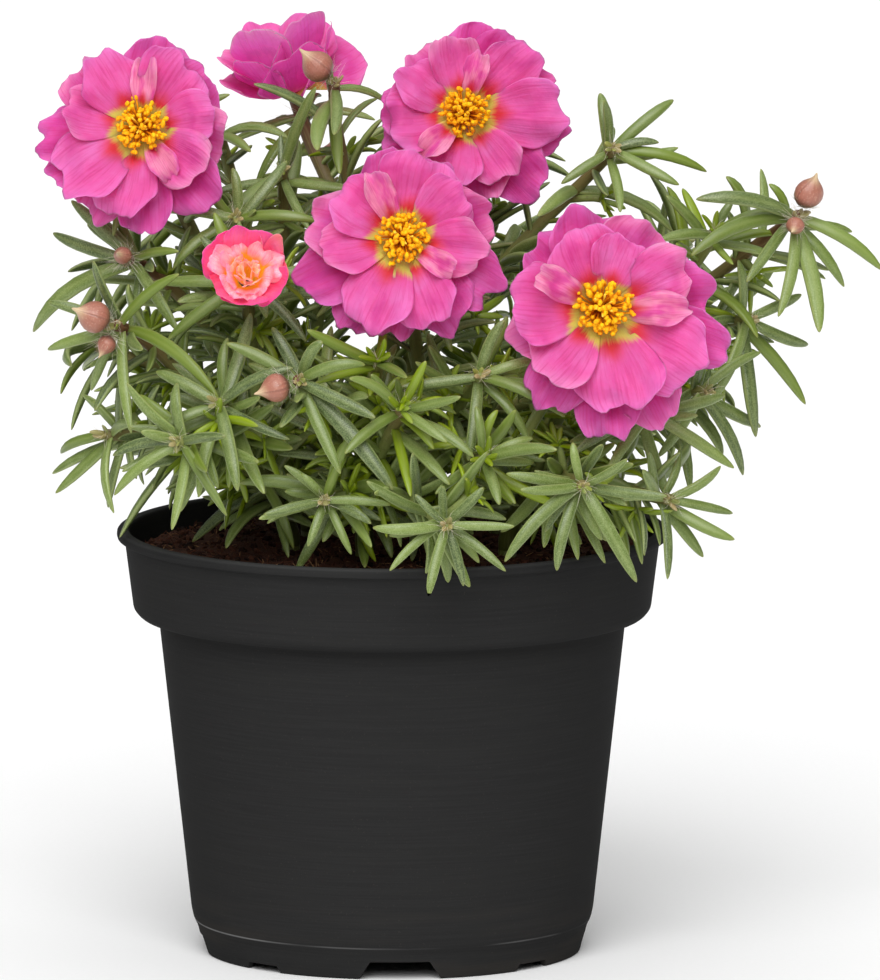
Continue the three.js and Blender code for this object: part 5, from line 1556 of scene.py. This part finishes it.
def make_soil(finish):
    """The fill with its lumpy surface and loose crumbs."""
    skin = Skin()
    rim = COLLAR_TOP_RADIUS - WALL - SOIL_GAP - 0.7
    sides = [
        (0, FLOOR_TOP + TOUCH_GAP),
        (BODY_FOOT_RADIUS - WALL - 1 - SOIL_GAP, FLOOR_TOP + TOUCH_GAP),
        (BODY_TOP_RADIUS - WALL - SOIL_GAP, COLLAR_FOOT_HEIGHT + 0.8),
        (COLLAR_FOOT_RADIUS - WALL - SOIL_GAP - 0.4, COLLAR_FOOT_HEIGHT + 3.3),
    ]
    lathe(skin, sides, SOIL_SECTORS, (0, 0.3, 0))
    below = list(range(len(skin.points) - SOIL_SECTORS, len(skin.points)))
    for i in range(SOIL_RINGS):
        radius = rim * (1 - i / SOIL_RINGS)
        points = []
        for p in round_points(UP * 0, EAST, NORTH, radius, SOIL_SECTORS):
            points.append(np.array([p[0], p[1], soil_surface(p[0], p[1]) - (0.8 if i == 0 else 0)]))
        ring = skin.ring(points, [(0, 0, 0)] * SOIL_SECTORS, (0, 0.5, 0))
        skin.band(below, ring)
        below = ring
    skin.fan(below, skin.add(np.array([0, 0, soil_surface(0, 0)]), (0, 0, 0), (0, 0.5, 0)))
    draw = seeded(CRUMB_SEED)
    for _ in range(CRUMBS):
        radius = rim * math.sqrt(draw(0, 0.97))
        turn = draw(0, 2 * math.pi)
        x, y = radius * math.cos(turn), radius * math.sin(turn)
        size = draw(0.2, 1.0) ** 2 + 0.16
        add_crumb(skin, np.array([x, y, soil_surface(x, y) + 0.2 * size]), size, draw)
    made = skin.make("soil_fill", finish)
    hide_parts("soil")


# ---------------------------------------------------------------- finishes


def tint(red, green, blue):
    """A colour from the usual 0 to 255 scale, as the shader wants it."""
    values = [c / 255 for c in (red, green, blue)]
    return tuple(c / 12.92 if c < 0.04045 else ((c + 0.055) / 1.055) ** 2.4 for c in values) + (1.0,)


class Value:
    """A shader socket that reads like a number: sums on it add Math nodes."""

    def __init__(self, finish, socket):
        self.finish = finish
        self.socket = socket

    def sum_of(self, operation, *values):
        return self.finish.node("ShaderNodeMath", {"operation": operation}, dict(enumerate(values)))

    def __add__(self, other):
        return self.sum_of("ADD", self, other)

    def __radd__(self, other):
        return self.sum_of("ADD", other, self)

    def __sub__(self, other):
        return self.sum_of("SUBTRACT", self, other)

    def __rsub__(self, other):
        return self.sum_of("SUBTRACT", other, self)

    def __mul__(self, other):
        return self.sum_of("MULTIPLY", self, other)

    def __rmul__(self, other):
        return self.sum_of("MULTIPLY", other, self)

    def size(self):
        return self.sum_of("ABSOLUTE", self)

    def ramp(self, low, high):
        """0 below low, 1 above high, smooth between."""
        settings = {"interpolation_type": "SMOOTHSTEP"}
        sockets = {"Value": self, "From Min": low, "From Max": high}
        return self.finish.node("ShaderNodeMapRange", settings, sockets)


class Finish:
    """One material and its nodes."""

    def __init__(self, name, **constants):
        self.material = bpy.data.materials.new(name)
        self.material.use_nodes = True
        self.tree = self.material.node_tree
        self.shader = self.tree.nodes["Principled BSDF"]
        for label, value in constants.items():
            self.shader.inputs[label.replace("_", " ")].default_value = value

    def node(self, kind, settings=None, sockets=None, output=0):
        """Any node: its settings first, then the values or links of its sockets."""
        made = self.tree.nodes.new(kind)
        for label, value in (settings or {}).items():
            setattr(made, label, value)
        for label, value in (sockets or {}).items():
            self.feed(made.inputs[label], value)
        return Value(self, made.outputs[output])

    def feed(self, socket, value):
        if isinstance(value, Value):
            self.tree.links.new(value.socket, socket)
        else:
            socket.default_value = value

    def mark(self, name):
        """The three numbers of one mark."""
        return self.parts(self.node("ShaderNodeAttribute", {"attribute_name": name}, output="Vector"))

    def place(self):
        return self.node("ShaderNodeTexCoord", output="Object")

    def parts(self, where):
        """The three numbers of a place."""
        outputs = self.node("ShaderNodeSeparateXYZ", None, {0: where}).socket.node.outputs
        return [Value(self, outputs[i]) for i in range(3)]

    def stretched(self, where, scale):
        return self.node("ShaderNodeVectorMath", {"operation": "MULTIPLY"}, {0: where, 1: scale})

    def joined(self, x, y, z):
        return self.node("ShaderNodeCombineXYZ", None, {0: x, 1: y, 2: z})

    def grain(self, scale, detail=2.0, where=None, rough=0.5):
        """Noise from 0 to 1 about 0.5, at so many features to the metre."""
        sockets = {"Vector": where or self.place(), "Scale": scale, "Detail": detail, "Roughness": rough}
        return self.node("ShaderNodeTexNoise", None, sockets)

    def blend(self, amount, low, high):
        """One colour to another by an amount from 0 to 1."""
        settings = {"data_type": "RGBA", "clamp_factor": True}
        return self.node("ShaderNodeMix", settings, {0: amount, 6: low, 7: high}, output=2)

    def painted(self, body, *coats):
        """A colour with others laid over it one by one, each by its own amount."""
        for amount, colour in coats:
            body = self.blend(amount, body, colour)
        return body

    def colour(self, value):
        self.feed(self.shader.inputs["Base Color"], value)

    def roughness(self, value):
        self.feed(self.shader.inputs["Roughness"], value)

    def bump(self, height, strength, distance):
        sockets = {"Strength": strength, "Distance": distance, "Height": height}
        self.feed(self.shader.inputs["Normal"], self.node("ShaderNodeBump", None, sockets))

    def glow(self, value):
        self.feed(self.shader.inputs["Emission Color"], value)


def leaf_finish():
    """Fleshy green with a frosty bloom: sort holds age, tone and tan, marks along, across and top."""
    f = Finish("fleshy leaf", Specular_IOR_Level=0.5)
    along, across, top = f.mark("marks")
    age, tone, tan = f.mark("sort")
    fine = f.grain(4600, 2)
    patches = f.grain(240, 3)
    streaks = f.grain(1.0, 3, f.joined(along * 6, across * 2.0, tone * 60))
    young, adult, old = tint(134, 156, 10), tint(94, 113, 42), tint(58, 76, 32)
    frost = (fine * 0.9 + streaks * 0.3 + patches * 0.15).ramp(0.54, 0.88) * age.ramp(0.3, 0.7)
    # Painted highlight: a lighter stripe down the middle of the leaf's upper side.
    middle = (1 - (across.size() * 2.2).ramp(0.0, 1.0)) * top.ramp(0.0, 0.5)
    # Painted shade: the underside of each leaf is darker.
    painted_underside = (0 - top).ramp(0.3, 1.0)
    # Pale margins: partly the leaf's own colour, partly a painted highlight along its edges.
    margin = across.size().ramp(0.7, 1.0) * age.ramp(0.2, 0.6)
    f.colour(f.painted(
        young,
        (age.ramp(0.1, 0.5), adult),
        ((age + tone * 0.5).ramp(0.9, 1.4), old),
        ((1 - tone.ramp(0.0, 0.45)) * 0.5, tint(128, 148, 70)),
        (frost * 0.4, tint(174, 190, 132)),
        (middle * 0.2, tint(158, 170, 104)),
        (painted_underside * 0.3, tint(62, 80, 38)),
        (along.ramp(0.9, 1.0) * 0.4, tint(150, 150, 76)),
        ((1 - along.ramp(0.0, 0.14)) * 0.45, tint(150, 160, 92)),
        (margin * 0.5, tint(176, 190, 122)),
        (tan, tint(172, 150, 108)),
    ))
    f.roughness(0.26 + patches * 0.22)
    f.bump(fine * 0.8 + streaks * 0.4, 0.2, 0.0002)
    return f.material


def stem_finish():
    """Olive trunks, and shoots that turn red-brown towards blooms and buds."""
    f = Finish("juicy stem", Specular_IOR_Level=0.45)
    along, across, _ = f.mark("marks")
    kind, tone, ruddy = f.mark("sort")
    fine = f.grain(1500, 3)
    streaks = f.grain(1.0, 3, f.joined(along * 5, across * 6, tone * 40))
    f.colour(f.painted(
        tint(88, 94, 34),
        ((along * kind).ramp(0.0, 0.4), tint(126, 140, 72)),
        (along.ramp(0.35, 0.95) * ruddy, tint(104, 66, 46)),
        (streaks.ramp(0.5, 0.75) * 0.36, tint(152, 152, 94)),
        (fine.ramp(0.56, 0.72) * 0.35, tint(84, 74, 44)),
    ))
    f.roughness(0.42 + fine * 0.2)
    f.bump(streaks + fine * 0.5, 0.4, 0.0003)
    return f.material


def petal_finish(name, heart, outer, edge, vein, warm, throat, base, painted_underside, rim_share,
                 warm_share=0.4, flare=0.0, glow=0.0, glow_above=1.0):
    """Thin petals: veined, paler to their edges, with a warm throat. marks hold u and v along and across.

    They glow with emission of that strength, a painted light that stands in for light coming through them,
    with that share of it on their upper face.
    """
    f = Finish(name, Specular_IOR_Level=0.2, Subsurface_Weight=0.55, Subsurface_Scale=0.0016,
               Subsurface_Radius=(1.0, 0.45, 0.7), Emission_Strength=glow)
    u, v, phase = f.mark("marks")
    level, blush_share, side = f.mark("sort")
    veins = f.grain(1.0, 3, f.joined(u * 2.2, v * 15, phase * 50))
    clouds = f.grain(1.0, 2, f.joined(u * 2.4, v * 1.5, phase * 90))
    crumple = f.grain(900, 2)
    creases = f.grain(260, 3)
    wide = v.size()
    rim = (u + wide * wide * 0.22).ramp(0.75, 1.15)
    flame = 1 - (u + wide * 0.24 + clouds * 0.12).ramp(0.36 + flare, 0.62 + 1.4 * flare)
    body = f.painted(
        outer,
        (level.ramp(0.1, 0.9), heart),
        (clouds.ramp(0.45, 0.75) * 0.4, edge),
        (rim * rim_share, edge),
        (level.ramp(1.2, 1.8) * clouds.ramp(0.35, 0.6) * 0.55, warm),
        (blush_share.ramp(0.6, 1.0) * rim * warm_share, warm),
        (veins.ramp(0.45, 0.65) * u.ramp(0.1, 0.4) * 0.12, throat),
        (flame * 0.92, throat),
        (1 - (u - wide * 0.08 + veins * 0.14).ramp(0.24 + flare, 0.36 + flare), base),
        # Painted light: the lower face takes a colour painted brighter to lift the shade it lies in.
        ((0 - side).ramp(0.2, 0.9) * 0.9, painted_underside),
        (veins.ramp(0.5, 0.72) * u.ramp(0.2, 0.6) * 0.32, vein),
        ((1 - clouds.ramp(0.28, 0.46)) * u.ramp(0.3, 0.6) * 0.4, vein),
    )
    f.colour(body)
    # Painted glow: the petals emit their own colour, on the upper face only by the share glow_above.
    f.glow(f.blend(side.ramp(-0.3, 0.3) * (1 - glow_above), body, tint(0, 0, 0)))
    f.roughness(0.5 + veins * 0.22)
    f.bump(veins * 0.8 + crumple * 0.4 + creases * 1.6, 0.5, 0.0005)
    return f.material


def stamen_finish():
    """Red-footed orange filaments, golden anthers and pale styles on a green-yellow cushion."""
    f = Finish("golden stamens", Specular_IOR_Level=0.3)
    along, _, _ = f.mark("marks")
    kind, tone, _ = f.mark("sort")
    fine = f.grain(3200, 2)
    thread = f.blend(along.ramp(0.05, 0.75), tint(196, 78, 6), tint(252, 170, 4))
    grained = fine.ramp(0.45, 0.7) * 0.5
    pollen = f.painted(tint(255, 178, 0), (tone, tint(255, 208, 8)), (grained, tint(214, 122, 4)))
    style = f.blend(along, tint(240, 180, 20), tint(255, 214, 70))
    f.colour(f.painted(
        tint(206, 128, 14),
        (kind.ramp(0.2, 0.8), thread),
        (kind.ramp(1.2, 1.8), pollen),
        (kind.ramp(2.2, 2.8), style),
    ))
    f.roughness(0.55 + fine * 0.3)
    f.bump(fine, 0.6, 0.0002)
    return f.material


def bud_finish():
    """Buds flushed pink-brown, olive at the foot and pale at the point."""
    f = Finish("flushed bud", Specular_IOR_Level=0.5)
    along, across, side = f.mark("marks")
    _, tone, _ = f.mark("sort")
    fine = f.grain(2200, 3)
    streaks = f.grain(1.0, 3, f.joined(along * 3, across * 7, side * 7 + tone * 30))
    seam = 1 - (side.size() * 9).ramp(0.0, 1.0)
    f.colour(f.painted(
        tint(84, 56, 42),
        (along.ramp(0.06, 0.34), tint(166, 108, 90)),
        (along.ramp(0.62, 0.92), tint(214, 190, 150)),
        (streaks.ramp(0.5, 0.72) * 0.4, tint(136, 84, 70)),
        (fine.ramp(0.52, 0.72) * 0.3, tint(214, 172, 148)),
        (seam * 0.4, tint(112, 70, 58)),
    ))
    f.roughness(0.24 + fine * 0.2)
    f.bump(streaks * 0.7 + fine * 0.4 - seam * 0.8, 0.4, 0.0003)
    return f.material


def hair_finish():
    """White hairs, a little tan at the foot."""
    f = Finish("white hair", Specular_IOR_Level=0.5)
    along, _, _ = f.mark("marks")
    f.colour(f.blend(along, tint(212, 200, 172), tint(240, 234, 218)))
    f.roughness(0.35 + along * 0.2)
    return f.material


def pot_finish():
    """Black moulded plastic, dulled and finely brushed round, with dust low down and painted highlights on
    the lip and the step over the foot.
    """
    f = Finish("black pot plastic", IOR=1.15, Specular_IOR_Level=0.04)
    where = f.place()
    height = f.parts(where)[2]
    brushed = f.grain(1.0, 4, f.stretched(where, (50, 50, 2600)), 0.6)
    coarse = f.grain(1.0, 3, f.stretched(where, (20, 20, 240)))
    specks = f.grain(2400, 2)
    # Painted highlight: a thin lighter band along the top edge of the lip.
    lip_highlight = height.ramp(0.0921, 0.0927)
    low = 1 - height.ramp(0.0, 0.022)
    # Painted highlight: a thin light line along the step over the foot, broken by noise.
    step_highlight = 1 - (height - 0.0071).size().ramp(0.0001, 0.00024)
    f.colour(f.painted(
        tint(40, 40, 40),
        (brushed.ramp(0.35, 0.7), tint(43, 43, 43)),
        (coarse.ramp(0.4, 0.75) * 0.3, tint(44, 44, 43)),
        (specks.ramp(0.66, 0.74) * 0.35, tint(64, 61, 57)),
        (lip_highlight * 0.5, tint(72, 72, 72)),
        (low * coarse.ramp(0.45, 0.7) * 0.3, tint(62, 57, 52)),
        (step_highlight * coarse.ramp(0.4, 0.62) * 0.7, tint(126, 126, 126)),
    ))
    f.roughness(0.5 + brushed * 0.14 + coarse * 0.12)
    f.bump(brushed * 0.7 + coarse * 0.3 + specks * 0.2, 0.25, 0.00012)
    return f.material


def soil_finish():
    """Dark peat: crumbs in several browns."""
    f = Finish("dark peat", Specular_IOR_Level=0.2)
    kind, tone, _ = f.mark("sort")
    fine = f.grain(1900, 4)
    clumps = f.grain(320, 3)
    f.colour(f.painted(
        tint(24, 11, 8),
        (tone, tint(96, 56, 40)),
        (kind.ramp(0.4, 0.9) * tone.ramp(0.82, 0.95), tint(140, 104, 72)),
        (clumps.ramp(0.5, 0.75) * 0.5, tint(24, 15, 12)),
        (fine.ramp(0.55, 0.75) * 0.5, tint(92, 66, 50)),
    ))
    f.roughness(0.8 + fine * 0.2)
    f.bump(fine + clumps * 0.6, 0.9, 0.0006)
    return f.material


def floor_finish():
    """Plain pale paper."""
    f = Finish("pale floor", Specular_IOR_Level=0.1)
    paper = f.grain(900, 2)
    f.colour(f.blend(paper, tint(247, 247, 247), tint(251, 251, 251)))
    f.roughness(0.85 + paper * 0.1)
    return f.material


# ---------------------------------------------------------------- the whole object


def make_plant():
    """Grows the plant, then makes its stems, blooms, buds and hairs."""
    plants = grow_plant()
    grow_tufts(plants)
    grow_trunk_leaves(plants)
    grow_extra(plants)
    fleshy_leaf, juicy_stem, flushed = leaf_finish(), stem_finish(), bud_finish()
    rosy = petal_finish(
        "rose petals", heart=tint(216, 84, 154), outer=tint(196, 62, 142), edge=tint(224, 130, 198),
        vein=tint(184, 36, 126), warm=tint(244, 160, 176), throat=tint(204, 40, 24), base=tint(204, 186, 84),
        painted_underside=tint(255, 72, 184), rim_share=0.42, glow=0.12, glow_above=0.0)
    coral = petal_finish(
        "coral petals", heart=tint(255, 104, 140), outer=tint(250, 96, 140), edge=tint(250, 44, 140),
        vein=tint(255, 40, 120), warm=tint(255, 122, 84), throat=tint(255, 136, 66), base=tint(240, 200, 70),
        painted_underside=tint(255, 116, 130), rim_share=0.75, warm_share=0.8, glow=0.05)
    pale = petal_finish(
        "pale folds", heart=tint(255, 206, 160), outer=tint(255, 196, 208), edge=tint(250, 60, 156),
        vein=tint(250, 70, 150), warm=tint(255, 140, 84), throat=tint(255, 158, 30), base=tint(255, 184, 40),
        painted_underside=tint(255, 166, 166), rim_share=0.6, warm_share=0.6, flare=0.12, glow=0.16)
    gold = stamen_finish()
    for plant in plants:
        make_stem(plant, fleshy_leaf, juicy_stem)
        for grown in plant["grown"]:
            shoot = grown["shoot"]
            if "bloom" in shoot:
                make_bloom(shoot, rosy, gold, juicy_stem)
            if "opening" in shoot:
                make_opening(shoot, coral, pale)
            for bud in shoot.get("buds", []):
                make_bud(shoot, bud, flushed)
    make_hairs(plants, hair_finish())


# ---------------------------------------------------------------- floor, light and camera

FLOOR_REACH = 4.0
WHITE = (1.0, 1.0, 1.0, 1.0)
SKY = 0.2
KEY_PLACE = (-0.08, -0.9, 0.72)
KEY = 2.75
KEY_SPREAD = 46.0
OVERHEAD_PLACE = (0.0, 0.0, 1.0)
OVERHEAD = 1.3
OVERHEAD_SPREAD = 80.0


def make_floor(finish):
    """A plain pale floor, which isn't part of the object."""
    mesh = bpy.data.meshes.new("floor")
    corners = [(x * FLOOR_REACH, y * FLOOR_REACH, 0) for x, y in ((-1, -1), (1, -1), (1, 1), (-1, 1))]
    mesh.from_pydata(corners, [], [(0, 1, 2, 3)])
    mesh.materials.append(finish)
    floor = add_object("floor", mesh)


def add_sun(name, place, power, spread):
    """A broad soft light that falls evenly from the direction of a place."""
    lamp = bpy.data.lights.new(name, "SUN")
    lamp.energy = power
    lamp.angle = math.radians(spread)
    light = add_object(name, lamp)
    light.rotation_euler = (-Vector(place)).to_track_quat("-Z", "Y").to_euler()


def light_studio():
    """An even pale sky, one broad light from the front and one from above."""
    scene = bpy.context.scene
    scene.world = bpy.data.worlds.new("studio")
    scene.world.use_nodes = True
    sky = scene.world.node_tree.nodes["Background"]
    sky.inputs["Color"].default_value = WHITE
    sky.inputs["Strength"].default_value = SKY
    add_sun("key", KEY_PLACE, KEY, KEY_SPREAD)
    add_sun("overhead", OVERHEAD_PLACE, OVERHEAD, OVERHEAD_SPREAD)
    scene.view_settings.view_transform = "Standard"


CAMERA_AIM = (10.4, 0.0, 101.0)
CAMERA_DISTANCE = 4500.0
CAMERA_RISE = 8.75
CAMERA_LENS = 759.0
CAMERA_CLIP_END = 50
SENSOR = 36.0


def add_camera():
    """A long lens a few metres off, a little above the blooms."""
    rise = math.radians(CAMERA_RISE)
    aim = Vector(CAMERA_AIM) * MM
    eye = aim + Vector((0, -math.cos(rise), math.sin(rise))) * (CAMERA_DISTANCE * MM)
    view = bpy.data.cameras.new("camera")
    view.sensor_fit = "VERTICAL"
    view.sensor_width = SENSOR
    view.sensor_height = SENSOR
    view.lens = CAMERA_LENS
    view.clip_end = CAMERA_CLIP_END
    camera = add_object("camera", view)
    camera.location = eye
    camera.rotation_euler = (aim - eye).to_track_quat("-Z", "Y").to_euler()
    bpy.context.scene.camera = camera


make_pot(pot_finish())
make_soil(soil_finish())
make_plant()
make_floor(floor_finish())
light_studio()
add_camera()
